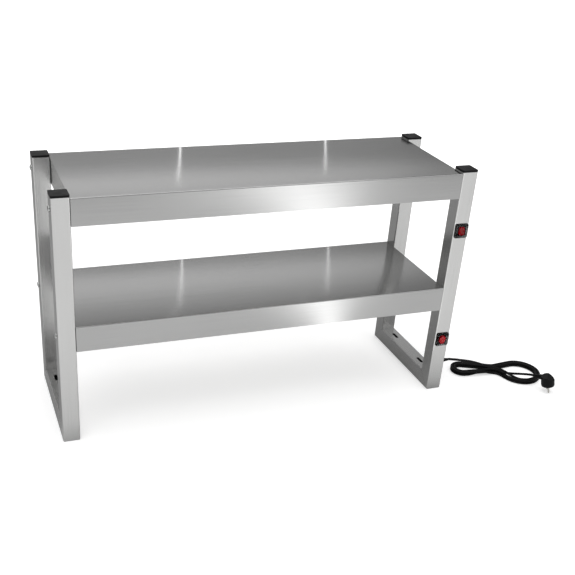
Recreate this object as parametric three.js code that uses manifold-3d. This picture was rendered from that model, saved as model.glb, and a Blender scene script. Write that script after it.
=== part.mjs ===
// Two-tier heat lamp gantry that keeps plated food warm on a serving counter.
// Millimetres, +Z up, front towards -Y. The origin is on the counter, under the middle of the stand.
import * as THREE from 'three';
import { mergeVertices } from 'three/addons/utils/BufferGeometryUtils.js';
import Module from 'manifold-3d';

const wasm = await Module();
wasm.setup();

// Stand
const standWidth = 1000;
const standDepth = 315;
const postHeight = 595;
const tubeSize = 40;
const tubeWall = 1.5;
const tubeCornerRadius = 3;

// Clearances
const fitGap = 0.3;
const holeClearance = 0.4;
const cutOverrun = 2;

// Post caps
const capThickness = 5;
const capChamfer = 1;
const capPlugDepth = 16;
const capPlugWall = 2.5;

// Counter fixing slots in the base rails
const slotSpacing = 144;
const slotLength = 28;
const slotWidth = 8;
// Radius of a slot's ends as a share of half its width, so that its straight sides keep a length
const slotEndShare = 0.998;

// Shelves, folded from sheet
const upperShelfDrop = 2;
const lowerShelfTop = 297;
const skirtHeight = 62;
const sheetThickness = 1.2;
const shelfFoldRadius = 2.4;
const returnFlange = 14;

// Shelf bolts and the nut bars inside the shelf ends
const boltDiameter = 8;
const boltHeadDiameter = 14;
const boltHeadHeight = 4.2;
const boltDrop = 26;
// Radius and height of the domed head's corners, as shares of the head
const boltHeadShares = [[1, 0], [1, 0.25], [0.75, 0.75], [0.4, 1], [0, 1]];
const nutBarThickness = 3;
const nutBarHeight = 24;
const nutBarInset = 9.5;
const nutThickness = 6.5;
const nutWidth = 13;

// Reflector pan under each shelf
const panThickness = 1;
const panLip = 5;
const panSideClearance = 0.5;
const panEndClearance = 16;
const troughMouth = 140;
const troughCrown = 72;
const troughDepth = 33;

// Quartz lamps and their holders
const lampsPerShelf = 3;
const lampTubeDiameter = 10;
const lampEndDiameter = 7;
const lampEndLength = 12;
const lampDrop = 21;
const holderLength = 22;
const holderWidth = 18;
const holderBelowLamp = 7;
const holderSocketDepth = 9;

// Wire guard over the trough
const guardWire = 2.6;
const guardRailOverlap = 4;
const guardPitch = 43;
const guardEndInset = 6;
const crossWireShare = 0.8;
const crossWireDropShare = 0.35;

// Terminal block inside each shelf
const blockLength = 36;
const blockWidth = 22;
const blockHeight = 15;
const blockWellDiameter = 5;
const blockWellDepth = 6;
const blockWells = 3;
const blockEndDistance = 36;

// Switches on the right front post
const upperSwitchDrop = 144;
const lowerSwitchDrop = 147;
const bezelWidth = 36;
const bezelHeight = 36;
const bezelThickness = 2.6;
const bezelCornerRadius = 5;
const switchBodyWidth = 26;
const switchBodyHeight = 28;
const switchBodyDepth = 18;
const rockerWidth = 17;
const rockerHeight = 23;
const rockerProud = 3.4;
const rockerDish = 1.1;
const rockerGap = 0.6;
const rockerTilt = 9;
const rockerPivotDiameter = 3;
const rockerPivotLength = 1.4;
const rockerPivotGap = 0.2;
const rockerBackRadius = 9;
const tabLength = 5;
const tabWidth = 4.8;
const tabThickness = 1;
const tabOffset = 6;
const coverFlange = 1;
const coverWall = 0.9;
const coverHeight = 7.2;
const coverClearance = 1.5;
const coverCornerRadius = 6;

// Wiring inside the right front post and the shelves
const leadDiameter = 5;
const leadLane = 13;
const leadBend = 9;
const leadHoleDiameter = 9;
const leadSteps = 72;
const leadSides = 6;
const leadTurnSteps = 4;

// Mains cord and its strain relief
const cordDiameter = 6.6;
const cordExitHeight = 72;
const reliefLength = 22;
const reliefTipDiameter = 7.8;
const reliefRootDiameter = 11;
const reliefFlangeDiameter = 14;
const reliefFlangeThickness = 1.6;
const reliefTailLength = 3;
const reliefGrooves = 3;
const reliefGrooveDepth = 0.6;
// Corners of one groove along its share of the taper
const reliefGrooveShares = [0.3, 0.35, 0.45, 0.5];

// Hank of cord on the counter: its waist, its lean and its loops
const hankX = 685;
const hankY = -117;
const hankAngle = -18;
const hankTurns = 4;
const hankGap = 0.9;
const hankFoldRadius = 27.4;
const hankFoldReach = 84;
const hankFoldShift = -3;
const hankLobeRadius = 52.5;
const hankLobeReach = 75.5;
const hankLobeShift = -12;
const hankWaistRadius = 26.4;
const hankTuckStart = 4;
const hankDropStart = 44;
const hankLiftStart = 84;
const hankShiftLength = 40;
const hankEntryStart = 136;
const hankEntryLength = 34;
const hankEntryRise = 3.4;
const hankArcStep = 0.53;
const hankRunStep = 20;
const hankSides = 6;
const strandSides = 8;
const toHankSteps = 30;
const toPlugSteps = 20;

// Plug, standing on its two pins and leaning on its cord
const plugX = 780;
const plugY = -249.5;
const plugExitAngle = 117;
const plugPinAngle = 65;
const plugLean = 12;
const plugNeckDroop = 3;
const plugFaceDiameter = 35;
const plugEdge = 1.5;
const plugHeight = 28;
const plugSlope = 30;
const plugNeckHeight = 21;
const plugNeckRootDiameter = 13.5;
const plugNeckTipDiameter = 9.4;
const plugNeckLength = 34;
const plugPinDiameter = 4.8;
const plugPinLength = 19;
const plugPinSpacing = 19;
const plugPinSeat = 7;
const earthNotchWidth = 6;
const earthNotchDepth = 2;
const earthNotchHeight = 14;

// Cord routes, chosen by hand
const cordToHankRoute = [
  [533, -137.5, 71],
  [546, -137.5, 68.4],
  [562, -137.5, 64.6],
  [578, -137.5, 60.6],
  [594, -137.5, 56.4],
  [610, -137.5, 51.0],
  [626, -137.5, 44.6],
  [642, -137.5, 38.2],
  [657, -137.8, 32.6],
  [671, -138.8, 28.0],
  [684, -141.8, 24.2],
  [695, -147.6, 21.2],
  [703, -155.8, 18.7],
];
const cordToPlugRoute = [
  [708.8, -134.0, 4.0],
  [718.0, -144.2, 5.8],
  [726.0, -155.6, 9.6],
  [731.3, -164.3, 13.1],
  [736.4, -173.2, 17.0],
  [741.2, -182.3, 20.9],
  [745.8, -191.4, 24.7],
  [750.4, -200.7, 28.1],
];

// Finishes
const brushedSteel = { color: 0xb4b4b2, roughness: 0.36, metalness: 0.95 };
const polishedSteel = { color: 0xd2d2d0, roughness: 0.14, metalness: 1 };
const zincSteel = { color: 0xc6c7c4, roughness: 0.3, metalness: 0.9 };
const blackPlastic = { color: 0x161616, roughness: 0.5, metalness: 0 };
const blackRubber = { color: 0x131313, roughness: 0.6, metalness: 0 };
const redLens = { color: 0xb3121f, roughness: 0.22, metalness: 0 };
const clearBoot = { color: 0xd8d8d8, roughness: 0.1, metalness: 0 };
const rubyQuartz = { color: 0xc9b9a8, roughness: 0.12, metalness: 0 };
const ceramic = { color: 0xe9e4d8, roughness: 0.6, metalness: 0 };
const nickel = { color: 0xcfcdc6, roughness: 0.2, metalness: 1 };
const siliconeSleeve = { color: 0x8d3b2c, roughness: 0.6, metalness: 0 };

// Sides of round pieces and steps of rounded corners
const roundSides = 16;
const smallRoundSides = 12;
const plugFaceSides = 24;
const pocketSides = 32;
const cornerSteps = 3;
const fineCornerSteps = 4;
const rockerBackSteps = 6;

// Derived places
const upperShelfTop = postHeight - upperShelfDrop;
const upperSwitchHeight = upperShelfTop - upperSwitchDrop;
const lowerSwitchHeight = lowerShelfTop - lowerSwitchDrop;
const shelves = [['upper', upperShelfTop], ['lower', lowerShelfTop]];
const halfWidth = standWidth / 2;
const halfDepth = standDepth / 2;
const postX = halfWidth - tubeSize / 2;
const postY = halfDepth - tubeSize / 2;
const frontPostY = -postY;
const shelfLength = standWidth - 2 * tubeSize - 2 * fitGap;
const shelfInnerLength = shelfLength - 2 * sheetThickness;
const shelfInnerDepth = standDepth - 2 * sheetThickness;
const shelfEndWallX = (shelfLength + shelfInnerLength) / 4;
const nutBarLength = standDepth - 2 * nutBarInset;
const frontFace = -halfDepth;
const leadY = frontPostY + leadLane;
const panFloor = -skirtHeight + sheetThickness + fitGap;
const panUnderside = panFloor + panLip;
const blockBase = panUnderside + panThickness + fitGap;
const leadDrop = -blockBase - blockHeight / 2;

const stand = new THREE.Group();

// Helpers: closed meshes, joins and cuts
function toSolid(geometry) {
  const bare = geometry.clone();
  bare.deleteAttribute('normal');
  bare.deleteAttribute('uv');
  const merged = mergeVertices(bare, 1e-4);
  const mesh = new wasm.Mesh({
    numProp: 3,
    vertProperties: new Float32Array(merged.attributes.position.array),
    triVerts: new Uint32Array(merged.index.array),
  });
  return new wasm.Manifold(mesh);
}

function toGeometry(solid) {
  const mesh = solid.getMesh();
  const geometry = new THREE.BufferGeometry();
  geometry.setAttribute('position', new THREE.BufferAttribute(new Float32Array(mesh.vertProperties), 3));
  geometry.setIndex(new THREE.BufferAttribute(new Uint32Array(mesh.triVerts), 1));
  geometry.computeVertexNormals();
  return geometry;
}

function join(...geometries) {
  return toGeometry(geometries.map(toSolid).reduce((all, one) => all.add(one)));
}

function cut(geometry, ...tools) {
  return toGeometry(tools.map(toSolid).reduce((left, one) => left.subtract(one), toSolid(geometry)));
}

function block(sizeX, sizeY, sizeZ, x, y, z) {
  return new THREE.BoxGeometry(sizeX, sizeY, sizeZ).translate(x, y, z);
}

// A round bar centred on a point, its length along X, Y or Z
function rod(diameter, length, axis, x, y, z, sides = roundSides) {
  const bar = new THREE.CylinderGeometry(diameter / 2, diameter / 2, length, sides);
  if (axis === 'x') bar.rotateZ(-Math.PI / 2);
  if (axis === 'z') bar.rotateX(Math.PI / 2);
  return bar.translate(x, y, z);
}

function roundedRectangle(width, height, radius) {
  const x = width / 2;
  const y = height / 2;
  const shape = new THREE.Shape();
  shape.moveTo(x - radius, -y);
  shape.absarc(x - radius, -y + radius, radius, -Math.PI / 2, 0);
  shape.absarc(x - radius, y - radius, radius, 0, Math.PI / 2);
  shape.absarc(-x + radius, y - radius, radius, Math.PI / 2, Math.PI);
  shape.absarc(-x + radius, -y + radius, radius, Math.PI, Math.PI * 1.5);
  return shape;
}

function prism(shape, length, curveSegments = cornerSteps) {
  return new THREE.ExtrudeGeometry(shape, { depth: length, bevelEnabled: false, curveSegments });
}

// A prism whose shape is drawn in Y and Z, running along X and centred on x = 0
function prismAlongX(shape, length, curveSegments = cornerSteps) {
  const geometry = prism(shape, length, curveSegments).translate(0, 0, -length / 2);
  return geometry.rotateZ(Math.PI / 2).rotateY(Math.PI / 2);
}

// A prism whose shape is drawn in X and Z, running from y = 0 towards +Y
function prismAlongY(shape, length, curveSegments = cornerSteps) {
  return prism(shape, length, curveSegments).rotateX(Math.PI / 2).translate(0, length, 0);
}

function turned(profile, segments = roundSides) {
  const points = profile.map(([radius, height]) => new THREE.Vector2(radius, height));
  return new THREE.LatheGeometry(points, segments).rotateX(Math.PI / 2);
}

// A plain tube along a smooth curve through the points
function tubeAlong(points, diameter, steps, sides) {
  const section = new THREE.Shape();
  for (let k = 0; k < sides; k += 1) {
    const angle = (2 * Math.PI * k) / sides;
    const corner = [(diameter / 2) * Math.cos(angle), (diameter / 2) * Math.sin(angle)];
    if (k === 0) section.moveTo(...corner);
    else section.lineTo(...corner);
  }
  section.closePath();
  const extrudePath = new THREE.CatmullRomCurve3(points, false, 'centripetal');
  return new THREE.ExtrudeGeometry(section, { steps, extrudePath, bevelEnabled: false });
}

function addPiece(name, geometry, finish, parent = stand) {
  const mesh = new THREE.Mesh(geometry, new THREE.MeshStandardMaterial(finish));
  mesh.name = name;
  parent.add(mesh);
  return mesh;
}

// Square tube, standing on z = 0 and centred on the axis
function squareTube(length) {
  const outer = roundedRectangle(tubeSize, tubeSize, tubeCornerRadius);
  const bore = tubeSize - 2 * tubeWall;
  outer.holes.push(roundedRectangle(bore, bore, tubeCornerRadius - tubeWall));
  return prism(outer, length);
}

// Side frames: front post, rear post and base rail, mitred where they meet
const mitreBlockSize = 4 * tubeSize;

// Everything on one side of the mitre at a frame's bottom corner; end is -1 at the front, 1 at the rear
function mitreCutter(end, keepsPost) {
  const away = keepsPost ? -1 : 1;
  const cutter = block(mitreBlockSize, mitreBlockSize, mitreBlockSize, 0, 0, (away * mitreBlockSize) / 2);
  cutter.translate(0, 0, away * -fitGap / 2);
  cutter.rotateX((-end * Math.PI) / 4);
  return cutter.translate(0, end * halfDepth, 0);
}

function boltHoles(x) {
  const diameter = boltDiameter + 2 * holeClearance;
  return shelves.map(([, top]) => rod(diameter, tubeSize + cutOverrun, 'x', x, 0, top - boltDrop));
}

function buildPost(side, end) {
  let post = squareTube(postHeight);
  const tools = boltHoles(0);
  if (side > 0 && end < 0) {
    const wallDepth = tubeWall + 2 * cutOverrun;
    const inner = -tubeSize / 2;
    for (const height of [upperSwitchHeight, lowerSwitchHeight]) {
      const width = switchBodyWidth + 2 * fitGap;
      tools.push(block(width, wallDepth, switchBodyHeight + 2 * fitGap, 0, inner + tubeWall / 2, height));
    }
    for (const [, top] of shelves) {
      tools.push(rod(leadHoleDiameter, wallDepth, 'x', inner + tubeWall / 2, leadLane, top - leadDrop));
    }
    const throat = reliefRootDiameter - 2 * reliefGrooveDepth + 2 * fitGap;
    tools.push(rod(throat, wallDepth, 'x', -inner - tubeWall / 2, 0, cordExitHeight));
  }
  post = cut(post, ...tools).translate(0, end * postY, 0);
  post = cut(post, mitreCutter(end, true)).translate(side * postX, 0, 0);
  const place = `${side < 0 ? 'left' : 'right'}_${end < 0 ? 'front' : 'rear'}`;
  addPiece(`${place}_post`, post, brushedSteel);

  const head = new THREE.ExtrudeGeometry(
    roundedRectangle(tubeSize - 2 * capChamfer, tubeSize - 2 * capChamfer, tubeCornerRadius - capChamfer),
    {
      depth: capThickness - capChamfer - fitGap,
      bevelThickness: capChamfer,
      bevelSize: capChamfer,
      bevelSegments: 1,
      curveSegments: cornerSteps,
    },
  );
  const trimmed = cut(head, block(2 * tubeSize, 2 * tubeSize, tubeSize, 0, 0, -tubeSize / 2));
  const plugSize = tubeSize - 2 * tubeWall - 2 * fitGap;
  const stem = roundedRectangle(plugSize, plugSize, tubeCornerRadius - tubeWall);
  const hollow = plugSize - 2 * capPlugWall;
  stem.holes.push(roundedRectangle(hollow, hollow, capPlugWall / 2));
  const cap = join(trimmed, prism(stem, capPlugDepth + capChamfer).translate(0, 0, -capPlugDepth));
  cap.translate(side * postX, end * postY, postHeight + fitGap);
  addPiece(`${place}_post_cap`, cap, blackPlastic);
}

function slotCutter(y) {
  const outline = roundedRectangle(slotWidth, slotLength, (slotWidth / 2) * slotEndShare);
  const cutter = prism(outline, tubeSize + 2 * cutOverrun, fineCornerSteps);
  return cutter.translate(0, y, -tubeSize / 2 - cutOverrun);
}

function buildBaseRail(side) {
  let rail = squareTube(standDepth).translate(0, 0, -halfDepth).rotateX(Math.PI / 2);
  rail = cut(rail, slotCutter(-slotSpacing / 2), slotCutter(slotSpacing / 2));
  rail.translate(0, 0, tubeSize / 2);
  rail = cut(rail, mitreCutter(-1, false), mitreCutter(1, false)).translate(side * postX, 0, 0);
  addPiece(`${side < 0 ? 'left' : 'right'}_base_rail`, rail, brushedSteel);
}

for (const side of [-1, 1]) {
  for (const end of [-1, 1]) buildPost(side, end);
  buildBaseRail(side);
}

// Shelf bolts: domed heads outside, shanks through the post, the shelf's end and the nut bar
const boltReach = tubeSize + 4 * fitGap + sheetThickness + nutBarThickness + nutThickness;

function buildBolt(side, end, shelfName, top) {
  const headRadius = boltHeadDiameter / 2;
  const bolt = turned([
    [0, -boltReach],
    [boltDiameter / 2, -boltReach],
    [boltDiameter / 2, 0],
    ...boltHeadShares.map(([across, up]) => [headRadius * across, boltHeadHeight * up]),
  ], smallRoundSides);
  bolt.rotateY((side * Math.PI) / 2);
  bolt.translate(side * (halfWidth + fitGap), end * postY, top - boltDrop);
  const place = `${side < 0 ? 'left' : 'right'}_${end < 0 ? 'front' : 'rear'}`;
  addPiece(`${shelfName}_${place}_bolt`, bolt, zincSteel);
}

function buildNutBar(side, shelfName, top) {
  const barX = shelfInnerLength / 2 - fitGap - nutBarThickness / 2;
  const parts = [block(nutBarThickness, nutBarLength, nutBarHeight, barX, 0, 0)];
  const holes = [];
  const holeLength = nutBarThickness + nutThickness + 2 * cutOverrun;
  for (const end of [-1, 1]) {
    const nutX = barX - nutBarThickness / 2 - nutThickness / 2;
    const nut = new THREE.CylinderGeometry(nutWidth / Math.sqrt(3), nutWidth / Math.sqrt(3), nutThickness, 6);
    parts.push(nut.rotateZ(Math.PI / 2).translate(nutX, end * postY, 0));
    holes.push(rod(boltDiameter + 2 * holeClearance, holeLength, 'x', nutX, end * postY, 0));
  }
  const bar = cut(join(...parts), ...holes);
  if (side < 0) bar.rotateZ(Math.PI);
  bar.translate(0, 0, top - boltDrop);
  addPiece(`${shelfName}_${side < 0 ? 'left' : 'right'}_nut_bar`, bar, zincSteel);
}

// Shelf tray: a folded top with four skirts, turned in along the bottom
function buildTray(shelfName, top) {
  const bottom = top - skirtHeight;
  const section = new THREE.Shape();
  section.moveTo(-halfDepth, -skirtHeight);
  section.lineTo(halfDepth, -skirtHeight);
  section.absarc(halfDepth - shelfFoldRadius, -shelfFoldRadius, shelfFoldRadius, 0, Math.PI / 2);
  section.absarc(-halfDepth + shelfFoldRadius, -shelfFoldRadius, shelfFoldRadius, Math.PI / 2, Math.PI);
  const skin = prismAlongX(section, shelfLength);
  const cavityHeight = skirtHeight - 2 * sheetThickness;
  const cavity = block(shelfInnerLength, shelfInnerDepth, cavityHeight, 0, 0, -skirtHeight / 2);
  const mouthLength = shelfInnerLength - 2 * returnFlange;
  const mouthDepth = shelfInnerDepth - 2 * returnFlange;
  const mouth = block(mouthLength, mouthDepth, skirtHeight, 0, 0, -skirtHeight);
  const holes = [];
  const holeLength = sheetThickness + 2 * cutOverrun;
  const diameter = boltDiameter + 2 * holeClearance;
  for (const side of [-1, 1]) {
    for (const end of [-1, 1]) {
      holes.push(rod(diameter, holeLength, 'x', side * shelfEndWallX, end * postY, -boltDrop));
    }
  }
  holes.push(rod(leadHoleDiameter, holeLength, 'x', shelfEndWallX, leadY, -leadDrop));
  const tray = cut(skin, cavity, mouth, ...holes).translate(0, 0, bottom + skirtHeight);
  addPiece(`${shelfName}_shelf_tray`, tray, brushedSteel);
}

// Reflector pan: rests on the turned-in edge and folds up into a trough round the lamps
const panLength = shelfInnerLength - 2 * panEndClearance;
const panWidth = shelfInnerDepth - 2 * panSideClearance;

function troughSection(grow, rise) {
  const shape = new THREE.Shape();
  shape.moveTo(-troughMouth / 2 - grow, panUnderside - cutOverrun * (rise ? 0 : 1));
  shape.lineTo(troughMouth / 2 + grow, panUnderside - cutOverrun * (rise ? 0 : 1));
  shape.lineTo(troughMouth / 2 + grow, panUnderside);
  shape.lineTo(troughCrown / 2 + grow, panUnderside + troughDepth + rise);
  shape.lineTo(-troughCrown / 2 - grow, panUnderside + troughDepth + rise);
  shape.lineTo(-troughMouth / 2 - grow, panUnderside);
  return shape;
}

function buildReflector(shelfName, top) {
  const lipHeight = panLip + panThickness;
  const plate = block(panLength, panWidth, panThickness, 0, 0, panUnderside + panThickness / 2);
  const lipY = (panWidth - panThickness) / 2;
  const lipZ = panFloor + lipHeight / 2;
  const lips = [-1, 1].map((end) => block(panLength, panThickness, lipHeight, 0, end * lipY, lipZ));
  const shell = prismAlongX(troughSection(panThickness, panThickness), panLength);
  const body = join(plate, ...lips, shell);
  const hollow = prismAlongX(troughSection(0, 0), panLength - 2 * panThickness);
  addPiece(`${shelfName}_reflector`, cut(body, hollow).translate(0, 0, top), polishedSteel);
}

// Lamps end to end along the trough, each held by a ceramic holder at both ends
const lampZ = panUnderside + troughDepth - lampDrop;
const holderSpacing = (panLength - 2 * panThickness - holderLength - 2 * fitGap) / lampsPerShelf;
const lampLength = holderSpacing - holderLength + 2 * holderSocketDepth - 2 * fitGap;

function buildLamp(shelfName, index, top) {
  const tubeStart = lampLength / 2 - lampEndLength - holderSocketDepth;
  const endRadius = lampEndDiameter / 2;
  const glassRadius = lampTubeDiameter / 2;
  const lamp = turned([
    [0, -lampLength / 2],
    [endRadius, -lampLength / 2],
    [endRadius, -tubeStart - glassRadius],
    [glassRadius, -tubeStart],
    [glassRadius, tubeStart],
    [endRadius, tubeStart + glassRadius],
    [endRadius, lampLength / 2],
    [0, lampLength / 2],
  ], smallRoundSides);
  const x = (index - (lampsPerShelf - 1) / 2) * holderSpacing;
  lamp.rotateY(Math.PI / 2).translate(x, 0, top + lampZ);
  addPiece(`${shelfName}_quartz_lamp_${index + 1}`, lamp, rubyQuartz);
}

function buildHolder(shelfName, index, top) {
  const x = (index - lampsPerShelf / 2) * holderSpacing;
  const ceiling = panUnderside + troughDepth - fitGap;
  const height = ceiling - lampZ + holderBelowLamp;
  const body = block(holderLength, holderWidth, height, x, 0, ceiling - height / 2);
  const sockets = [];
  for (const side of [-1, 1]) {
    const faces = (side < 0 && index > 0) || (side > 0 && index < lampsPerShelf);
    const depth = holderSocketDepth + cutOverrun;
    const socketX = x + side * (holderLength / 2 - holderSocketDepth + depth / 2);
    const socket = rod(lampEndDiameter + 2 * fitGap, depth, 'x', socketX, 0, lampZ, smallRoundSides);
    if (faces) sockets.push(socket);
  }
  addPiece(`${shelfName}_lamp_holder_${index + 1}`, cut(body, ...sockets).translate(0, 0, top), ceramic);
}

// Wire guard: three long wires and the cross wires between them, under the pan
function buildGuard(shelfName, top) {
  const railY = troughMouth / 2 + guardRailOverlap;
  const guardLength = panLength - 2 * guardEndInset;
  const z = top + panUnderside - fitGap - guardWire / 2;
  const wires = [-1, 0, 1].map((lane) => block(guardLength, guardWire, guardWire, 0, lane * railY, z));
  const count = Math.floor(guardLength / guardPitch);
  const crossWidth = guardWire * crossWireShare;
  const crossZ = z - guardWire * crossWireDropShare;
  for (let k = 0; k <= count; k += 1) {
    const x = ((guardLength - guardWire) * (k - count / 2)) / count;
    wires.push(block(crossWidth, 2 * railY, guardWire, x, 0, crossZ));
  }
  addPiece(`${shelfName}_lamp_guard`, join(...wires), polishedSteel);
}

// Terminal block: stands on the pan beside the trough, near the right end
const blockX = shelfInnerLength / 2 - blockEndDistance - blockLength / 2;

function buildTerminalBlock(shelfName, top) {
  const body = block(blockLength, blockWidth, blockHeight, blockX, leadY, -leadDrop);
  const wells = [];
  for (let k = 0; k < blockWells; k += 1) {
    const x = blockX + ((k - (blockWells - 1) / 2) * blockLength) / blockWells;
    const depth = blockWellDepth + cutOverrun;
    const z = blockBase + blockHeight - blockWellDepth + depth / 2;
    wells.push(rod(blockWellDiameter, depth, 'z', x, leadY, z, smallRoundSides));
  }
  addPiece(`${shelfName}_terminal_block`, cut(body, ...wells).translate(0, 0, top), ceramic);
}

for (const [shelfName, top] of shelves) {
  buildTray(shelfName, top);
  for (const side of [-1, 1]) {
    buildNutBar(side, shelfName, top);
    for (const end of [-1, 1]) buildBolt(side, end, shelfName, top);
  }
  buildReflector(shelfName, top);
  for (let index = 0; index < lampsPerShelf; index += 1) buildLamp(shelfName, index, top);
  for (let index = 0; index <= lampsPerShelf; index += 1) buildHolder(shelfName, index, top);
  buildGuard(shelfName, top);
  buildTerminalBlock(shelfName, top);
}

// Switches: a bezel and body, a rocker on pivots, and a clear splash boot over it
const bezelFront = -fitGap - bezelThickness;
const pivotY = -fitGap;

function buildSwitch(switchName, height, tilt) {
  const place = new THREE.Group();
  place.position.set(postX, frontFace, height);
  stand.add(place);

  const bezel = prismAlongY(roundedRectangle(bezelWidth, bezelHeight, bezelCornerRadius), bezelThickness);
  bezel.translate(0, bezelFront, 0);
  const bodyBack = bezelFront + fitGap + switchBodyDepth;
  const bodyY = bodyBack - switchBodyDepth / 2;
  const body = block(switchBodyWidth, switchBodyDepth, switchBodyHeight, 0, bodyY, 0);
  const tabs = [-1, 1].map((side) => {
    const length = tabLength + fitGap;
    return block(tabThickness, length, tabWidth, side * tabOffset, bodyBack - fitGap + length / 2, 0);
  });
  const pocketWidth = rockerWidth + 2 * rockerGap;
  const pocketRadius = Math.hypot(rockerHeight / 2, rockerProud) + rockerGap;
  const pocket = rod(2 * pocketRadius, pocketWidth, 'x', 0, pivotY, 0, pocketSides);
  const mouth = block(pocketWidth, bezelThickness + 2 * cutOverrun, 2 * pocketRadius, 0, bezelFront, 0);
  const pivotHole = rockerPivotDiameter + 2 * rockerPivotGap;
  const pivotLength = rockerWidth + 2 * rockerPivotLength + 2 * rockerPivotGap;
  const bearings = rod(pivotHole, pivotLength, 'x', 0, pivotY, 0, smallRoundSides);
  const housing = cut(join(bezel, body, ...tabs), pocket, mouth, bearings);
  addPiece(`${switchName}_switch_housing`, housing, blackPlastic, place);

  const halfRocker = rockerHeight / 2;
  const outline = new THREE.Shape();
  outline.moveTo(-rockerProud, halfRocker);
  outline.lineTo(-rockerProud + rockerDish, 0);
  outline.lineTo(-rockerProud, -halfRocker);
  outline.lineTo(-rockerProud + rockerDish + rockerPivotDiameter, -halfRocker);
  outline.absarc(0, 0, rockerBackRadius, -Math.PI / 3, Math.PI / 3);
  outline.lineTo(-rockerProud + rockerDish + rockerPivotDiameter, halfRocker);
  const key = prismAlongX(outline, rockerWidth, rockerBackSteps);
  const axleLength = rockerWidth + 2 * rockerPivotLength;
  const pivots = rod(rockerPivotDiameter, axleLength, 'x', 0, 0, 0, smallRoundSides);
  const rocker = addPiece(`${switchName}_switch_rocker`, join(key, pivots), redLens, place);
  rocker.position.y = pivotY;
  rocker.rotation.x = THREE.MathUtils.degToRad(tilt);

  const flange = prismAlongY(roundedRectangle(bezelWidth, bezelHeight, bezelCornerRadius), coverFlange);
  const domeWidth = pocketWidth + 2 * coverClearance + 2 * coverWall;
  const domeHeight = 2 * pocketRadius + 2 * coverWall + coverClearance;
  const crown = roundedRectangle(
    domeWidth - 2 * coverWall,
    domeHeight - 2 * coverWall,
    coverCornerRadius - coverWall,
  );
  const dome = new THREE.ExtrudeGeometry(crown, {
    depth: coverHeight - 2 * coverWall,
    bevelThickness: coverWall,
    bevelSize: coverWall,
    bevelSegments: 1,
    curveSegments: fineCornerSteps,
  });
  dome.translate(0, 0, -coverHeight + coverWall).rotateX(-Math.PI / 2);
  const hollow = prismAlongY(crown, coverHeight - coverWall + cutOverrun, fineCornerSteps);
  const outside = join(flange.translate(0, -coverFlange, 0), dome);
  const boot = cut(outside, hollow.translate(0, -coverHeight + coverWall, 0));
  boot.translate(0, bezelFront - fitGap, 0);
  addPiece(`${switchName}_switch_boot`, boot, clearBoot, place);
}

buildSwitch('upper', upperSwitchHeight, -rockerTilt);
buildSwitch('lower', lowerSwitchHeight, rockerTilt);

// Strain relief in the right front post's outer wall
function buildStrainRelief() {
  const root = reliefRootDiameter / 2;
  const tip = reliefTipDiameter / 2;
  const flange = reliefFlangeDiameter / 2;
  const throat = root - reliefGrooveDepth;
  const inside = -tubeWall - fitGap;
  const profile = [
    [0, inside - reliefTailLength],
    [throat, inside - reliefTailLength],
    [throat, fitGap],
    [flange, fitGap],
    [flange, fitGap + reliefFlangeThickness],
    [root, fitGap + reliefFlangeThickness],
  ];
  const taperStart = fitGap + reliefFlangeThickness;
  const taperLength = reliefLength - taperStart;
  for (let k = 0; k < reliefGrooves; k += 1) {
    reliefGrooveShares.forEach((share, corner) => {
      const along = (k + share) / reliefGrooves;
      const radius = root + (tip - root) * along - (corner === 1 || corner === 2 ? reliefGrooveDepth : 0);
      profile.push([radius, taperStart + taperLength * along]);
    });
  }
  profile.push([tip, reliefLength], [0, reliefLength]);
  const relief = turned(profile).rotateY(Math.PI / 2);
  addPiece('cord_strain_relief', relief.translate(halfWidth, frontPostY, cordExitHeight), blackRubber);
}

buildStrainRelief();

// Wiring: the supply feeds both switches, and each switch feeds the lamps of its own shelf
const tabEndY = frontFace + bezelFront + switchBodyDepth + tabLength + fitGap;
const supplyX = postX + tabOffset;
const lampLeadX = postX - tabOffset;

function leadStub(x, z) {
  const length = leadY - tabEndY - fitGap;
  return rod(leadDiameter, length, 'y', x, tabEndY + fitGap + length / 2, z, leadSides);
}

function buildSupplyLead() {
  const startX = halfWidth - tubeWall - 4 * fitGap - reliefTailLength;
  const bottom = cordExitHeight;
  const rise = startX - supplyX;
  const points = [];
  for (let k = 0; k <= leadTurnSteps; k += 1) {
    const angle = (Math.PI * k) / (2 * leadTurnSteps);
    const x = supplyX + rise * (1 - Math.sin(angle));
    points.push(new THREE.Vector3(x, frontPostY, bottom + rise * (1 - Math.cos(angle))));
  }
  const laneTop = lowerSwitchHeight - leadDiameter;
  points.push(
    new THREE.Vector3(supplyX, frontPostY + leadLane / 2, (bottom + rise + laneTop) / 2),
    new THREE.Vector3(supplyX, leadY, laneTop),
    new THREE.Vector3(supplyX, leadY, (lowerSwitchHeight + upperSwitchHeight) / 2),
    new THREE.Vector3(supplyX, leadY, upperSwitchHeight + leadDiameter / 2),
  );
  const trunk = tubeAlong(points, leadDiameter, leadSteps, leadSides);
  const stubs = [lowerSwitchHeight, upperSwitchHeight].map((z) => leadStub(supplyX, z));
  addPiece('supply_wiring', join(trunk, ...stubs), siliconeSleeve);
}

function buildLampLead(shelfName, switchHeight, top) {
  const turn = top - leadDrop;
  const endX = blockX + blockLength / 2 + fitGap;
  const points = [
    new THREE.Vector3(lampLeadX, leadY, switchHeight - leadDiameter / 2),
    new THREE.Vector3(lampLeadX, leadY, (switchHeight + turn) / 2),
    new THREE.Vector3(lampLeadX, leadY, turn - leadBend),
    new THREE.Vector3(lampLeadX - leadBend / 3, leadY, turn - leadBend / 3),
    new THREE.Vector3(lampLeadX - leadBend, leadY, turn),
    new THREE.Vector3((lampLeadX - leadBend + endX) / 2, leadY, turn),
    new THREE.Vector3(endX, leadY, turn),
  ];
  const run = tubeAlong(points, leadDiameter, leadSteps, leadSides);
  const lead = join(run, leadStub(lampLeadX, switchHeight));
  addPiece(`${shelfName}_lamp_wiring`, lead, siliconeSleeve);
}

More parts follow.
